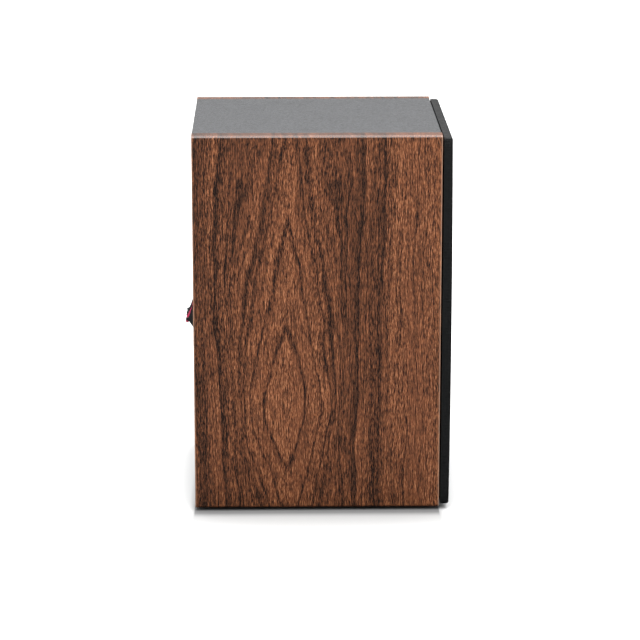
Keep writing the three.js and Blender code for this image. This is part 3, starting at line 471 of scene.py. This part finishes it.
grained_black = black_vinyl()
for name in ("top_board", "bottom_board"):
    deck = board(name + "_wrapped", name, edge=0)
    bevelled(deck, 1.0 * mm, 4, lambda a, b: abs(a.y - b.y) < touching and abs(a.z - b.z) < touching)
    fit(rounded(deck, 0.15 * mm, 1), grained_black, "black_vinyl", "cabinet", name)
back_panel = softened("back_board_wrapped", "back_board", 0.2 * mm)
fit(back_panel, grained_black, "black_vinyl", "cabinet", "back_board")

# ---- Feet --------------------------------------------------------------------------------------

# Four round rubber feet, self-adhesive, stuck under the bottom board. Each is a shallow button
# with a rounded rim and a slight dish in its sole.


def turned(name, profile, centre, facets=96, axis=(0, 1, 0)):
    """A piece turned on a lathe: (radius, depth) points in millimetres, spun about an axis that
    runs through a centre. Depth counts along +Y, or along +Z for an upright axis."""
    upright = axis[2] > 0
    bpy.ops.object.select_all(action="DESELECT")
    bpy.ops.mesh.primitive_plane_add(size=mm, location=(0, 0, 0))
    made = bpy.context.object
    made.name = made.data.name = name
    corners = [
        Vector((radius * mm, 0, depth * mm) if upright else (radius * mm, depth * mm, 0))
        for radius, depth in profile
    ]
    bpy.ops.object.mode_set(mode="EDIT")
    bpy.ops.mesh.select_mode(type="VERT")
    bpy.ops.mesh.merge(type="CENTER")
    bpy.ops.transform.translate(value=Vector(centre) + corners[0])
    for here, there in zip(corners, corners[1:]):
        bpy.ops.mesh.extrude_region_move(TRANSFORM_OT_translate={"value": there - here})
    bpy.ops.mesh.select_all(action="SELECT")
    bpy.ops.mesh.spin(steps=facets, angle=math.tau, center=centre, axis=axis)
    bpy.ops.mesh.select_all(action="SELECT")
    bpy.ops.mesh.remove_doubles(threshold=0.004 * mm)
    bpy.ops.mesh.normals_make_consistent(inside=False)
    bpy.ops.object.mode_set(mode="OBJECT")
    only(made)
    bpy.ops.object.shade_smooth_by_angle(angle=math.radians(30))
    return made


def arc(middle, radii, start, end, steps):
    """Points on a quarter or half round, as (radius, depth), from one angle to another."""
    turns = [math.radians(start + (end - start) * i / steps) for i in range(steps + 1)]
    return [(middle[0] + radii[0] * math.cos(t), middle[1] + radii[1] * math.sin(t)) for t in turns]


def grained(name, dark, light, scale, low, high, relief, **fixed):
    """A plain moulded, painted or cast surface: two close shades, its own gloss and fine relief."""
    made = new_finish(name, **fixed)
    where = place()
    grain = noise(where, scale, detail=4.0, roughness=0.6)
    cloud = noise(where, scale / 30, detail=2.0)
    both = sum_of("ADD", sum_of("MULTIPLY", grain, 0.6), sum_of("MULTIPLY", cloud, 0.4))
    coloured(ramp(both, (0.35, tint(dark)), (0.65, tint(light))))
    polished(grain, low, high)
    raised(grain, relief, 0.6)
    return made


def stood(node):
    """Where an upright round piece stands, and its radius and height in millimetres."""
    low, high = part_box(node)
    middle = ((low.x + high.x) / 2, (low.y + high.y) / 2, low.z)
    return middle, (high.x - low.x) / 2 / mm, (high.z - low.z) / mm


rubber = grained("black_rubber", "101113", "1d1e20", 1800.0, 0.62, 0.78, 0.08 * mm)
for corner in ("front_left", "front_right", "back_left", "back_right"):
    node = "foot_" + corner
    middle, rim, tall = stood(node)
    button = [(0, 0.25), (rim - 2.2, 0.25), (rim - 1.6, 0), (rim - 0.6, 0)]
    button += arc((rim - 0.6, 0.6), (0.6, 0.6), -90, 0, 4)[1:] + [(rim, tall), (0, tall)]
    fit(turned(node + "_button", button, middle, 48, axis=(0, 0, 1)), rubber, "rubber", "cabinet", node)

# ---- Grille ------------------------------------------------------------------------------------

# A moulded frame with four pegs, and a black knitted cloth drawn over its face and sides and
# glued along its rear edge. The pegs push into rubber cups in the baffle.


def crossing(one_way, other_way, thread):
    """Threads of a given width that pass over and under each other, from -1 to 1."""
    pitch = 2 * math.pi / thread
    warp = sum_of("SINE", sum_of("MULTIPLY", one_way, pitch))
    weft = sum_of("SINE", sum_of("MULTIPLY", other_way, pitch))
    return sum_of("MULTIPLY", warp, weft)


def grille_cloth():
    """Open plain knit in dusty black with a soft sheen. Adding Y carries it over the turned sides."""
    made = new_finish("grille_cloth_knit", Specular_IOR_Level=0.16)
    where = place()
    parts = step("SeparateXYZ", where)
    level = sum_of("ADD", parts["X"], parts["Y"])
    rising = sum_of("ADD", parts["Z"], parts["Y"])
    over = crossing(level, rising, 0.95 * mm)
    slubs = noise(stretched(where, 300, 300, 900), detail=3.0, roughness=0.65)
    height = sum_of("ADD", spread(over, -1, 1, 0.0, 0.6), sum_of("MULTIPLY", slubs, 0.5))
    coloured(ramp(height, (0.2, tint("010101")), (0.55, tint("070808")), (0.9, tint("141516"))))
    polished(slubs, 0.34, 0.52)
    raised(height, 0.3 * mm, 0.9)
    return made


def front_edge_rounds(piece, width, steps, face_y):
    """Rounds the edges around a face that looks along Y, and the upright edges behind it."""

    def chosen(a, b):
        on_face = abs(a.y - face_y) + abs(b.y - face_y) < touching
        return on_face or abs(a.y - b.y) > 0.1 * mm

    bevelled(piece, width, steps, chosen)


def sliced(low, high, *counts):
    """Cuts the piece in edit mode into equal slices, as (axis, number of slices) pairs."""
    for axis, count in counts:
        across = Vector([float(axis == other) for other in range(3)])
        for i in range(1, count):
            place_along = low[axis] + (high[axis] - low[axis]) * i / count
            bpy.ops.mesh.select_all(action="SELECT")
            bpy.ops.mesh.bisect(plane_co=across * place_along, plane_no=across)


cloth_low, cloth_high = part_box("grille_cloth")
baffle_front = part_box("front_baffle")[0].y
shadow_gap = 1.0 * mm
rear_of_grille = baffle_front - shadow_gap
bpy.ops.object.select_all(action="DESELECT")
cloth_size = (cloth_high.x - cloth_low.x, rear_of_grille - cloth_low.y, cloth_high.z - cloth_low.z)
cloth_middle = [start + size / 2 for start, size in zip(cloth_low, cloth_size)]
bpy.ops.mesh.primitive_cube_add(size=1, location=cloth_middle, scale=cloth_size)
cloth = bpy.context.object
cloth.name = cloth.data.name = "grille_cloth_wrap"
bpy.ops.object.transform_apply(location=True, rotation=True, scale=True)
front_edge_rounds(cloth, 1.5 * mm, 5, cloth_low.y)
bpy.ops.object.mode_set(mode="EDIT")
bpy.ops.mesh.select_mode(type="FACE")
bpy.ops.mesh.select_all(action="DESELECT")
bpy.ops.object.mode_set(mode="OBJECT")
for face in cloth.data.polygons:
    face.select = face.normal.y > 0.9
bpy.ops.object.mode_set(mode="EDIT")
bpy.ops.mesh.delete(type="FACE")
sliced(cloth_low, cloth_high, (2, 24), (0, 14))
bpy.ops.object.mode_set(mode="OBJECT")
crown = 0.6 * mm
for point in cloth.data.vertices:
    rise = 1 - ((point.co.z - cloth_middle[2]) / (cloth_size[2] / 2)) ** 2
    depth_share = (rear_of_grille - point.co.y) / cloth_size[1]
    point.co.y -= crown * rise * depth_share
skin = cloth.modifiers.new("cloth_thickness", "SOLIDIFY")
skin.thickness = 0.5 * mm
skin.offset = -1
only(cloth)
bpy.ops.object.modifier_apply(modifier=skin.name)
bpy.ops.object.shade_smooth_by_angle(angle=math.radians(40))
fit(cloth, grille_cloth(), "grille_cloth", "grille", "grille_cloth")

moulded = grained("black_moulded_plastic", "0e0f10", "1b1c1e", 1500.0, 0.42, 0.56, 0.06 * mm)
grille_frame = softened("grille_frame_moulded", "grille_frame", 0.35 * mm)
fit(grille_frame, moulded, "black_plastic", "grille", "grille_frame")

for corner in ("left_low", "left_high", "right_low", "right_high"):
    node = "grille_socket_" + corner
    low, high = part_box(node)
    deep = (high.y - low.y) / mm
    cup = [(3.3, 0.5), *arc((3.8, 0.5), (0.5, 0.5), 180, 270, 3)[1:]]
    cup += [*arc((5.3, 0.5), (0.5, 0.5), -90, 0, 3), (5.8, 0.8), (4.6, 0.8), (4.6, deep)]
    cup += [(0, deep), (0, deep - 1.2), (3.3, deep - 1.2), (3.3, 0.5)]
    middle = ((low.x + high.x) / 2, low.y, (low.z + high.z) / 2)
    fit(turned(node + "_cup", cup, middle, 40), rubber, "rubber", "cabinet", node)

# ---- Baffle ------------------------------------------------------------------------------------

# The front board is painted satin black, with a rebate and a hole for each driver and a bore for
# each grille cup. It sits between the sides and the decks.


def cutter(radius, start, end, centre, facets=96):
    """A plain round cutter along Y, from one depth to another in millimetres."""
    return turned("cutter", [(0, start), (radius, start), (radius, end), (0, end)], centre, facets)


def carved(piece, cutters):
    """Cuts other solids out of a piece, and throws them away."""
    for tool in cutters:
        cut = piece.modifiers.new("cut", "BOOLEAN")
        cut.operation = "DIFFERENCE"
        cut.solver = "EXACT"
        cut.object = tool
        only(piece)
        bpy.ops.object.modifier_apply(modifier=cut.name)
        bpy.data.objects.remove(tool)
    return piece


def middle_of(node, depth=None):
    """The middle of a CAD node, at a depth of its own or at a given one."""
    low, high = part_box(node)
    return Vector(((low.x + high.x) / 2, low.y if depth is None else depth, (low.z + high.z) / 2))


outside = -2


def screw_hole(driver, number):
    """The hole for one of a driver's four screws."""
    return cutter(1.9, outside, 10, middle_of(f"{driver}_screw_{number}", baffle_front), 16)


woofer_centre = middle_of("woofer_basket", baffle_front)
tweeter_centre = middle_of("tweeter_faceplate", baffle_front)
satin_black = grained("black_baffle_paint", "121315", "1c1d20", 900.0, 0.45, 0.58, 0.05 * mm)
baffle = board("front_baffle_painted", "front_baffle", 0.25 * mm)
right_through = 20
bores = [
    cutter(58.3, outside, 3.9, woofer_centre, 128),
    cutter(50.7, outside, right_through, woofer_centre, 128),
    cutter(37.3, outside, 3.3, tweeter_centre),
    cutter(28.1, outside, right_through, tweeter_centre),
]
for corner in ("left_low", "left_high", "right_low", "right_high"):
    seat = middle_of("grille_socket_" + corner, baffle_front)
    bores += [cutter(6.1, outside, 1.1, seat, 40), cutter(4.9, outside, 9.3, seat, 40)]
for driver in ("woofer", "tweeter"):
    bores += [screw_hole(driver, number) for number in range(1, 5)]
carved(baffle, bores)
only(baffle)
bpy.ops.object.shade_smooth_by_angle(angle=math.radians(30))
fit(baffle, satin_black, "black_paint", "cabinet", "front_baffle")

# ---- Screws ------------------------------------------------------------------------------------

# Pan-head steel screws with a cross recess, blackened. Four hold each driver, two the terminal.
# One is made, and the others are copies of it.
blackened = grained("blackened_steel", "17181a", "2a2b2e", 2400.0, 0.30, 0.42, 0.03 * mm, Metallic=0.7)
shank = [(0, 9.2), (1.55, 7.4), (1.55, 1.5), (3.4, 1.5), (3.4, 0.95)]
pan = arc((1.4, 1.0), (2.0, 1.0), 0, -90, 6)[1:] + [(0, -0.02)]
screw = turned("screw_pattern", shank + pan, (0, 0, 0), 32)
cross = []
for wide, tall in ((0.55, 2.9), (2.9, 0.55)):
    bar = (wide * mm, 1.9 * mm, tall * mm)
    bpy.ops.mesh.primitive_cube_add(size=1, location=(0, 0.1 * mm, 0), scale=bar)
    bpy.ops.object.transform_apply(location=True, rotation=True, scale=True)
    cross.append(bpy.context.object)
carved(screw, cross)
only(screw)
bpy.ops.object.shade_smooth_by_angle(angle=math.radians(30))


def screwed(node, facing, turn):
    """A copy of the screw in a CAD screw's place, its cross turned by some degrees."""
    low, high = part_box(node)
    made = bpy.data.objects.new(node + "_cross", screw.data.copy())
    bpy.context.scene.collection.objects.link(made)
    made.location = middle_of(node, low.y if facing < 0 else high.y)
    made.rotation_euler = (0, math.radians(turn), 0 if facing < 0 else math.pi)
    only(made)
    bpy.ops.object.transform_apply(location=True, rotation=True, scale=True)
    fit(made, blackened, "black_steel", "cabinet", node)


for number in range(1, 5):
    screwed(f"woofer_screw_{number}", -1, 17 + 53 * number)
    screwed(f"tweeter_screw_{number}", -1, 61 * number)
for number in (1, 2):
    screwed(f"terminal_screw_{number}", 1, 38 * number)
bpy.data.objects.remove(screw)

# ---- Woofer ------------------------------------------------------------------------------------

# A pressed steel basket with a powder coat carries a ferrite motor. A doped paper cone hangs in
# it from a rubber half roll at its rim and from a corrugated cloth spider at its neck.
basket_profile = [
    (58, 0.5), (58, 2.4), (50.4, 2.4), (50.4, 4.6), (45.4, 4.6), (45.4, 10), (36.5, 28),
    (36.5, 31.8), (33, 31.8), (33, 38), (17, 38), (17, 36.6), (31.6, 36.6), (31.6, 30.4),
    (35.1, 30.4), (35.1, 28.4), (44, 10.4), (44, 3.2), (49.2, 3.2), (49.2, 0.3), (49.5, 0),
    (57.5, 0), (58, 0.5),
]
basket = turned("woofer_basket_pressed", basket_profile, woofer_centre, 128)
windows = []
window_out = 44
for aside, up in ((-1, 0), (1, 0), (0, -1), (0, 1)):
    middle = woofer_centre + Vector((aside * window_out, 19.5, up * window_out)) * mm
    bpy.ops.mesh.primitive_cube_add(size=1, location=middle, scale=(44 * mm, 14 * mm, 44 * mm))
    bpy.ops.object.transform_apply(location=True, rotation=True, scale=True)
    windows.append(bpy.context.object)


def countersunk(driver):
    """A driver's four screw holes, each with a seat for the screw's head."""
    holes = []
    for number in range(1, 5):
        seat = cutter(3.7, outside, 1.0, middle_of(f"{driver}_screw_{number}", baffle_front), 32)
        holes += [seat, screw_hole(driver, number)]
    return holes


carved(basket, windows + countersunk("woofer"))
rounded(basket, 0.15 * mm, 1, angle=40)
fit(basket, blackened, "black_steel", "cabinet", "woofer_basket")

gasket_profile = [(51, 2.7), (57.6, 2.7), (57.6, 3.7), (51, 3.7), (51, 2.7)]
gasket = turned("woofer_gasket_ring", gasket_profile, woofer_centre)
carved(gasket, [screw_hole("woofer", number) for number in range(1, 5)])
fit(gasket, rubber, "rubber", "cabinet", "woofer_gasket")


def paper():
    """Pressed paper pulp with a black dope: fibres that run every way, faint rings from the mould."""
    made = new_finish("doped_paper", Specular_IOR_Level=0.35)
    where = step("VectorMath", place(), tuple(woofer_centre), operation="SUBTRACT")[0]
    parts = step("SeparateXYZ", where)
    flat = step("CombineXYZ", parts["X"], 0.0, parts["Z"])[0]
    radius = step("VectorMath", flat, operation="LENGTH")[1]
    rings = sum_of("SINE", sum_of("MULTIPLY", radius, 2 * math.pi / (1.9 * mm)))
    fibres = noise(where, 900.0, detail=5.0, roughness=0.7)
    pulp = noise(where, 160.0, detail=3.0)
    both = sum_of("ADD", sum_of("MULTIPLY", fibres, 0.6), sum_of("MULTIPLY", pulp, 0.4))
    coloured(ramp(both, (0.3, tint("161514")), (0.55, tint("262422")), (0.75, tint("383532"))))
    polished(fibres, 0.68, 0.85)
    raised(sum_of("ADD", fibres, spread(rings, -1, 1, 0, 0.25)), 0.14 * mm, 0.7)
    return made


cone_face = [(35.6 - 22.7 * s, 3.2 + 16 * s + 2.4 * s * (1 - s)) for s in [i / 16 for i in range(17)]]
cone_back = [(r, d + 0.9) for r, d in reversed(cone_face)]
cone_profile = [(38.2, 3.2), *cone_face, *cone_back, (38.2, 4.1), (38.2, 3.2)]
cone = turned("woofer_cone_paper", cone_profile, woofer_centre, 128)
fit(cone, paper(), "paper_cone", "woofer_cone", "woofer_cone")

cap_face = arc((0, 17.9), (14.2, 5.0), 0, -90, 12)
cap_back = arc((0, 17.9), (13.6, 4.4), -90, 0, 12)
cap = turned("woofer_dust_cap_pressed", cap_face + cap_back + cap_face[:1], woofer_centre, 96)
capped = grained("dust_cap_finish", "1a1918", "2b2927", 1400.0, 0.42, 0.55, 0.06 * mm, Sheen_Weight=0.15)
fit(cap, capped, "dust_cap", "woofer_cone", "woofer_dust_cap")


def stretching(piece):
    """Bakes a flexible ring's placement into its mesh."""
    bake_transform(piece)


def stretchy(piece, finish, node):
    """Gives a flexible ring its finish and the CAD node that it stands for."""
    piece.data.materials.clear()
    piece.data.materials.append(finish)
    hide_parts(node)


roll_top = arc((42.0, 2.2), (3.6, 3.2), 0, -180, 16)
roll_back = arc((42.0, 2.9), (2.9, 2.5), -180, 0, 16)
surround_profile = [(48.4, 2.9), (48.4, 2.2), *roll_top, (35.6, 2.2), (35.6, 2.9), *roll_back]
surround_profile += [(48.4, 2.9)]
surround = turned("woofer_surround_roll", surround_profile, woofer_centre, 128)
bloom = {"Sheen_Weight": 0.08}
soft_rubber = grained("soft_black_rubber", "141516", "202123", 1100.0, 0.50, 0.62, 0.04 * mm, **bloom)
stretchy(surround, soft_rubber, "woofer_surround")
stretching(surround)


def weave(name, dark, light, thread):
    """Cotton cloth stiffened with resin, woven square."""
    made = new_finish(name, Sheen_Weight=0.2)
    where = place()
    parts = step("SeparateXYZ", where)
    over = spread(crossing(parts["X"], parts["Z"], thread), -1, 1, 0, 1)
    slubs = noise(where, 500.0, detail=2.0)
    both = sum_of("ADD", sum_of("MULTIPLY", over, 0.6), sum_of("MULTIPLY", slubs, 0.4))
    coloured(ramp(both, (0.2, tint(dark)), (0.8, tint(light))))
    polished(slubs, 0.65, 0.85)
    raised(both, 0.12 * mm, 0.8)
    return made


def spider_face(depth, start, end):
    """One face of the spider, from one share of its width to another: three ripples and a flat rim."""
    points = []
    for i in range(49):
        share = start + (end - start) * i / 48
        ripple = 0 if share > 0.85 else 0.5 * math.sin(share * 6 * math.pi)
        points.append((12.9 + 21.7 * share, depth + ripple))
    return points


spider_top = spider_face(29.6, 0, 1)
spider_back = spider_face(30.1, 1, 0)
spider = turned("woofer_spider_cloth", spider_top + spider_back + spider_top[:1], woofer_centre, 72)
stretchy(spider, weave("spider_cloth_resin", "8a6a34", "c7a260", 0.7 * mm), "woofer_spider")
stretching(spider)


def wound(name, dark, light, pitch):
    """Enamelled copper wire, laid turn beside turn along Y."""
    made = new_finish(name, Metallic=0.85, Coat_Weight=0.6, Coat_Roughness=0.12)
    where = place()
    parts = step("SeparateXYZ", where)
    turn = sum_of("SINE", sum_of("MULTIPLY", parts["Y"], 2 * math.pi / pitch))
    stain = noise(where, 220.0, detail=3.0)
    coloured(ramp(stain, (0.3, tint(dark)), (0.7, tint(light))))
    polished(stain, 0.24, 0.40)
    raised(spread(turn, -1, 1, 0, 1), pitch / 3, 0.9)
    return made


winding = wound("copper_winding", "8a4420", "cf8148", 0.3 * mm)
zinc = grained("zinc_plated_steel", "8e9092", "b9babb", 700.0, 0.26, 0.40, 0.03 * mm, Metallic=1.0)
ferrite = grained("grey_ferrite", "2b2b2d", "3c3c3f", 1200.0, 0.55, 0.72, 0.09 * mm)


def ring_of(name, node, bore, edge=0.4):
    """A flat ring of the motor, as wide and as thick as its CAD node."""
    low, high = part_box(node)
    rim = (high.x - low.x) / 2 / mm
    thick = (high.y - low.y) / mm
    profile = [(bore, 0), (rim, 0), (rim, thick), (bore, thick), (bore, 0)]
    return rounded(turned(name, profile, middle_of(node), 96), edge * mm, 2)


def pole_of(name, node, pole, plate_thickness):
    """A back plate with the pole that stands inside the coil."""
    low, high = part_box(node)
    rim = (high.x - low.x) / 2 / mm
    deep = (high.y - low.y) / mm
    face = deep - plate_thickness
    profile = [(0, 0), (pole, 0), (pole, face), (rim, face), (rim, deep), (0, deep)]
    return rounded(turned(name, profile, middle_of(node), 96), 0.4 * mm, 2)


def motor(driver, plate_bore, magnet_bore, magnet_edge, pole, plate_thickness):
    """A driver's top plate, ferrite ring and pole plate, by their radii in millimetres."""
    top = ring_of(driver + "_top_plate_disc", driver + "_top_plate", plate_bore)
    magnet = ring_of(driver + "_magnet_ring", driver + "_magnet", magnet_bore, magnet_edge)
    pole_plate = pole_of(driver + "_pole_plate", driver + "_back_plate", pole, plate_thickness)
    fit(top, zinc, "steel", "cabinet", driver + "_top_plate")
    fit(magnet, ferrite, "ferrite", "cabinet", driver + "_magnet")
    fit(pole_plate, zinc, "steel", "cabinet", driver + "_back_plate")


motor("woofer", 13.1, 20, 0.8, 11.4, 4)
coil_low, coil_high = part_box("woofer_voice_coil")
coil_end = (coil_high.y - coil_low.y) / mm
coil_profile = [(12, 0), (12.3, 0), (12.3, 19.3), (12.6, 19.3), (12.6, coil_end), (12, coil_end), (12, 0)]
coil = turned("woofer_coil_wound", coil_profile, middle_of("woofer_voice_coil"), 72)
fit(coil, winding, "copper", "woofer_cone", "woofer_voice_coil")

# ---- Tweeter -----------------------------------------------------------------------------------

# A coated silk dome with its own roll edge, glued behind a moulded faceplate whose middle is a
# shallow horn. A small ferrite motor is glued to the back.
quarter = [math.pi / 2 * i / 12 for i in range(13)]
horn = [(16 + 11 * (1 - math.cos(t)), 5.0 * (1 - math.sin(t))) for t in quarter]
face_profile = [(16, 6.2), *horn, (36.5, 0), (37, 0.5), (37, 3), (27.5, 3), (27.5, 6.2), (16, 6.2)]
faceplate = turned("tweeter_faceplate_moulded", face_profile, tweeter_centre, 128)
carved(faceplate, countersunk("tweeter"))
rounded(faceplate, 0.2 * mm, 2, angle=35)
fit(faceplate, moulded, "black_plastic", "cabinet", "tweeter_faceplate")


def silk(name, thread):
    """Tightly woven silk with a tacky black coating, satin where it stretches."""
    made = new_finish(name, Coat_Weight=0.35, Coat_Roughness=0.35, Sheen_Weight=0.1)
    where = place()
    parts = step("SeparateXYZ", where)
    over = spread(crossing(parts["X"], parts["Z"], thread), -1, 1, 0, 1)
    cloud = noise(where, 250.0, detail=3.0)
    coloured(ramp(cloud, (0.3, tint("161517")), (0.7, tint("262527"))))
    polished(cloud, 0.45, 0.60)
    raised(over, 0.05 * mm, 0.6)
    return made


silk_coated = silk("coated_silk", 0.4 * mm)
dome_face = arc((0, 6.5), (12.4, 6.0), 0, -90, 14)
dome_back = arc((0, 6.5), (11.9, 5.5), -90, 0, 14)
dome = turned("tweeter_dome_silk", dome_face + dome_back + dome_face[:1], tweeter_centre, 96)
fit(dome, silk_coated, "silk_dome", "tweeter_dome", "tweeter_dome")
edge_steps = [i / 12 for i in range(13)]
edge_top = [(12.7 + 2.9 * s, 6.5 - 1.2 * math.sin(s * math.pi)) for s in edge_steps]
edge_back = [(r, d + 0.5) for r, d in reversed(edge_top)]
edge_profile = [*edge_top, (18.6, 6.5), (18.6, 7.0), *edge_back, edge_top[0]]
edge = turned("tweeter_surround_silk", edge_profile, tweeter_centre, 96)
stretchy(edge, silk_coated, "tweeter_surround")
stretching(edge)

motor("tweeter", 12.9, 17, 0.6, 11.2, 3)
small_coil = ring_of("tweeter_coil_wound", "tweeter_voice_coil", 12.0, 0.1)
fit(small_coil, winding, "copper", "tweeter_dome", "tweeter_voice_coil")

# ---- Port --------------------------------------------------------------------------------------

# The bass port is one moulded tube with a flared mouth, pushed into the back board from outside
# and glued by its collar. Its outer rim is rolled.
back_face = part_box("back_board")[1].y
port_centre = middle_of("port_tube", back_face)
mouth = [(14 + 5 * (1 - math.sin(t)), 1.5 - 7 * (1 - math.cos(t))) for t in quarter]
port_profile = [(23, 0.3), *arc((22.2, 0.7), (0.8, 0.8), 0, 90, 4), *mouth]
port_profile += [(14, -64), (15.8, -64), (15.8, -8), (18.5, -8), (18.5, 0.3), (23, 0.3)]
port = turned("port_tube_moulded", port_profile, port_centre, 96)
fit(port, moulded, "black_plastic", "cabinet", "port_tube")

# ---- Terminal ----------------------------------------------------------------------------------

# A moulded housing screwed to the back carries two sprung levers, one red and one black. Pressing
# a lever opens the wire mouth below it, where a brass leaf grips the wire.
housing = softened("terminal_housing_moulded", "terminal_housing", 0.3 * mm)
fit(housing, moulded, "black_plastic", "cabinet", "terminal_housing")
shine = {"Coat_Weight": 0.2, "Coat_Roughness": 0.2}
red = grained("red_lever_plastic", "a81240", "c62257", 1200.0, 0.28, 0.38, 0.03 * mm, **shine)
glossy = grained("black_lever_plastic", "121315", "1e1f21", 1200.0, 0.28, 0.38, 0.03 * mm)
brass = grained("spring_brass", "9c7a30", "c9a55a", 600.0, 0.25, 0.38, 0.02 * mm, Metallic=1.0)
for colour, plastic, slot in (("red", red, "red_plastic"), ("black", glossy, "black_plastic")):
    lever = softened(f"terminal_lever_{colour}_moulded", f"terminal_lever_{colour}", 0.25 * mm, 3)
    fit(lever, plastic, slot, "lever_" + colour, "terminal_lever_" + colour)
    leaf = softened(f"terminal_contact_{colour}_leaf", f"terminal_contact_{colour}", 0.08 * mm, 1)
    fit(leaf, brass, "spring_brass", "cabinet", "terminal_contact_" + colour)

# ---- Crossover ---------------------------------------------------------------------------------

# A small board on two spacers holds an air-cored coil, a film capacitor and a cement resistor,
# all glued down with their legs soldered below.


def board_lacquer():
    """Glass-fibre laminate under green lacquer, with broad copper tracks just raised below it."""
    made = new_finish("green_lacquered_board", Coat_Weight=0.5, Coat_Roughness=0.18)
    where = place()
    flat_places = {"Vector": stretched(where, 1, 1, 0), "Scale": 90.0}
    tracks = step("TexVoronoi", sockets=flat_places, distance="MANHATTAN")[0]
    lacquer = noise(where, 300.0, detail=3.0)
    between = ramp(tracks, (0.40, grey(0)), (0.44, grey(1)))
    coloured(blend_of(between, tint("2f6a41"), tint("1d4529")))
    polished(lacquer, 0.32, 0.45)
    raised(spread(tracks, 0.38, 0.46, 1, 0), 0.05 * mm, 0.8)
    return made


circuit = softened("crossover_board_lacquered", "crossover_board", 0.15 * mm, 1)
fit(circuit, board_lacquer(), "circuit_board", "cabinet", "crossover_board")
for side in ("left", "right"):
    node = "board_spacer_" + side
    middle, rim, tall = stood(node)
    post = [(0, 0), (rim, 0), (rim, tall), (0, tall)]
    spacer = rounded(turned(node + "_post", post, middle, 40, axis=(0, 0, 1)), 0.3 * mm, 2)
    fit(spacer, moulded, "black_plastic", "cabinet", node)

middle, rim, tall = stood("inductor")
flange = 1.2
turns = 12
half_turn = (tall - 2 * flange) / turns / 2
turns_wound = []
for i in range(turns):
    depth = flange + half_turn * (2 * i + 1)
    turns_wound += arc((rim - 1.9, depth), (half_turn, half_turn), -90, 90, 4)
bobbin = [(6, 0), (rim, 0), (rim, flange), *turns_wound]
bobbin += [(rim, tall - flange), (rim, tall), (6, tall), (6, 0)]
inductor = turned("inductor_wound", bobbin, middle, 72, axis=(0, 0, 1))
varnish = {"Metallic": 0.8, "Coat_Weight": 0.5}
lacquered_wire = grained("lacquered_wire", "93481f", "c97c40", 400.0, 0.25, 0.38, 0.02 * mm, **varnish)
fit(inductor, lacquered_wire, "copper", "cabinet", "inductor")

film = grained("red_film_sleeve", "7a2018", "a0362a", 500.0, 0.22, 0.34, 0.03 * mm, Coat_Weight=0.4)
low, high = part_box("capacitor")
can_radius, can_length = (high.z - low.z) / 2 / mm, (high.x - low.x) / mm
can_shoulder = arc((can_radius - 0.8, 0.8), (0.8, 0.8), -90, 0, 4)
can_profile = [(0, 0.6), (can_radius - 1.4, 0.6), (can_radius - 1.0, 0), *can_shoulder]
can_profile += [(r, can_length - d) for r, d in reversed(can_profile)]
can = turned("capacitor_can", can_profile, (0, 0, 0), 48)
can.rotation_euler = (0, 0, -math.pi / 2)
can.location = (low.x, (low.y + high.y) / 2, (low.z + high.z) / 2)
only(can)
bpy.ops.object.transform_apply(location=True, rotation=True, scale=True)
fit(can, film, "film_can", "cabinet", "capacitor")
cement = grained("cement_resistor_body", "c2bdae", "e0dccf", 900.0, 0.70, 0.85, 0.10 * mm)
fit(board("resistor_cement", "resistor", 0.5 * mm, 3), cement, "ceramic", "cabinet", "resistor")

# ---- Leads -------------------------------------------------------------------------------------

# Three two-core leads in black sleeves run inside the cabinet: terminal to board, board to
# woofer, board to tweeter. Both ends of each are soldered.
jacket = grained("lead_jacket_vinyl", "141517", "232427", 800.0, 0.45, 0.58, 0.04 * mm)
for node in ("input_lead", "woofer_lead", "tweeter_lead"):
    lead = softened(node + "_sleeved", node, 0.05 * mm, 1)
    sleeve = lead.modifiers.new("round_sleeve", "SUBSURF")
    sleeve.levels = sleeve.render_levels = 1
    only(lead)
    bpy.ops.object.modifier_apply(modifier=sleeve.name)
    bpy.ops.object.shade_smooth()
    fit(lead, jacket, "lead_jacket", "cabinet", node)

# ---- Damping -----------------------------------------------------------------------------------

# A batt of polyester wadding is glued under the top board. It is loose and springy, with soft
# rounded edges and a lumpy underside.


def wadding():
    """Curled white fibres that stand in loose tufts."""
    made = new_finish("polyester_wadding", Sheen_Weight=0.5, Sheen_Roughness=0.6)
    where = place()
    fibres = noise(where, 1400.0, detail=6.0, roughness=0.75)
    tufts = noise(where, 120.0, detail=3.0)
    both = sum_of("ADD", sum_of("MULTIPLY", fibres, 0.55), sum_of("MULTIPLY", tufts, 0.45))
    coloured(ramp(both, (0.3, tint("c9c6bc")), (0.7, tint("f0eee7"))))
    polished(fibres, 0.85, 1.0)
    raised(both, 0.6 * mm, 0.9)
    return made


low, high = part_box("damping_pad")
batt = board("damping_batt", "damping_pad", 4 * mm, 4)
only(batt)
bpy.ops.object.mode_set(mode="EDIT")
sliced(low, high, (0, 30), (1, 30), (2, 5))
bpy.ops.object.mode_set(mode="OBJECT")
lumps = bpy.data.textures.new("wadding_lumps", "CLOUDS")
lumps.noise_scale = 0.02
puffed = batt.modifiers.new("lumps", "DISPLACE")
puffed.texture = lumps
puffed.strength = 3 * mm
puffed.mid_level = 1.0
only(batt)
bpy.ops.object.modifier_apply(modifier=puffed.name)
bpy.ops.object.shade_smooth()
fit(batt, wadding(), "wadding", "cabinet", "damping_pad")
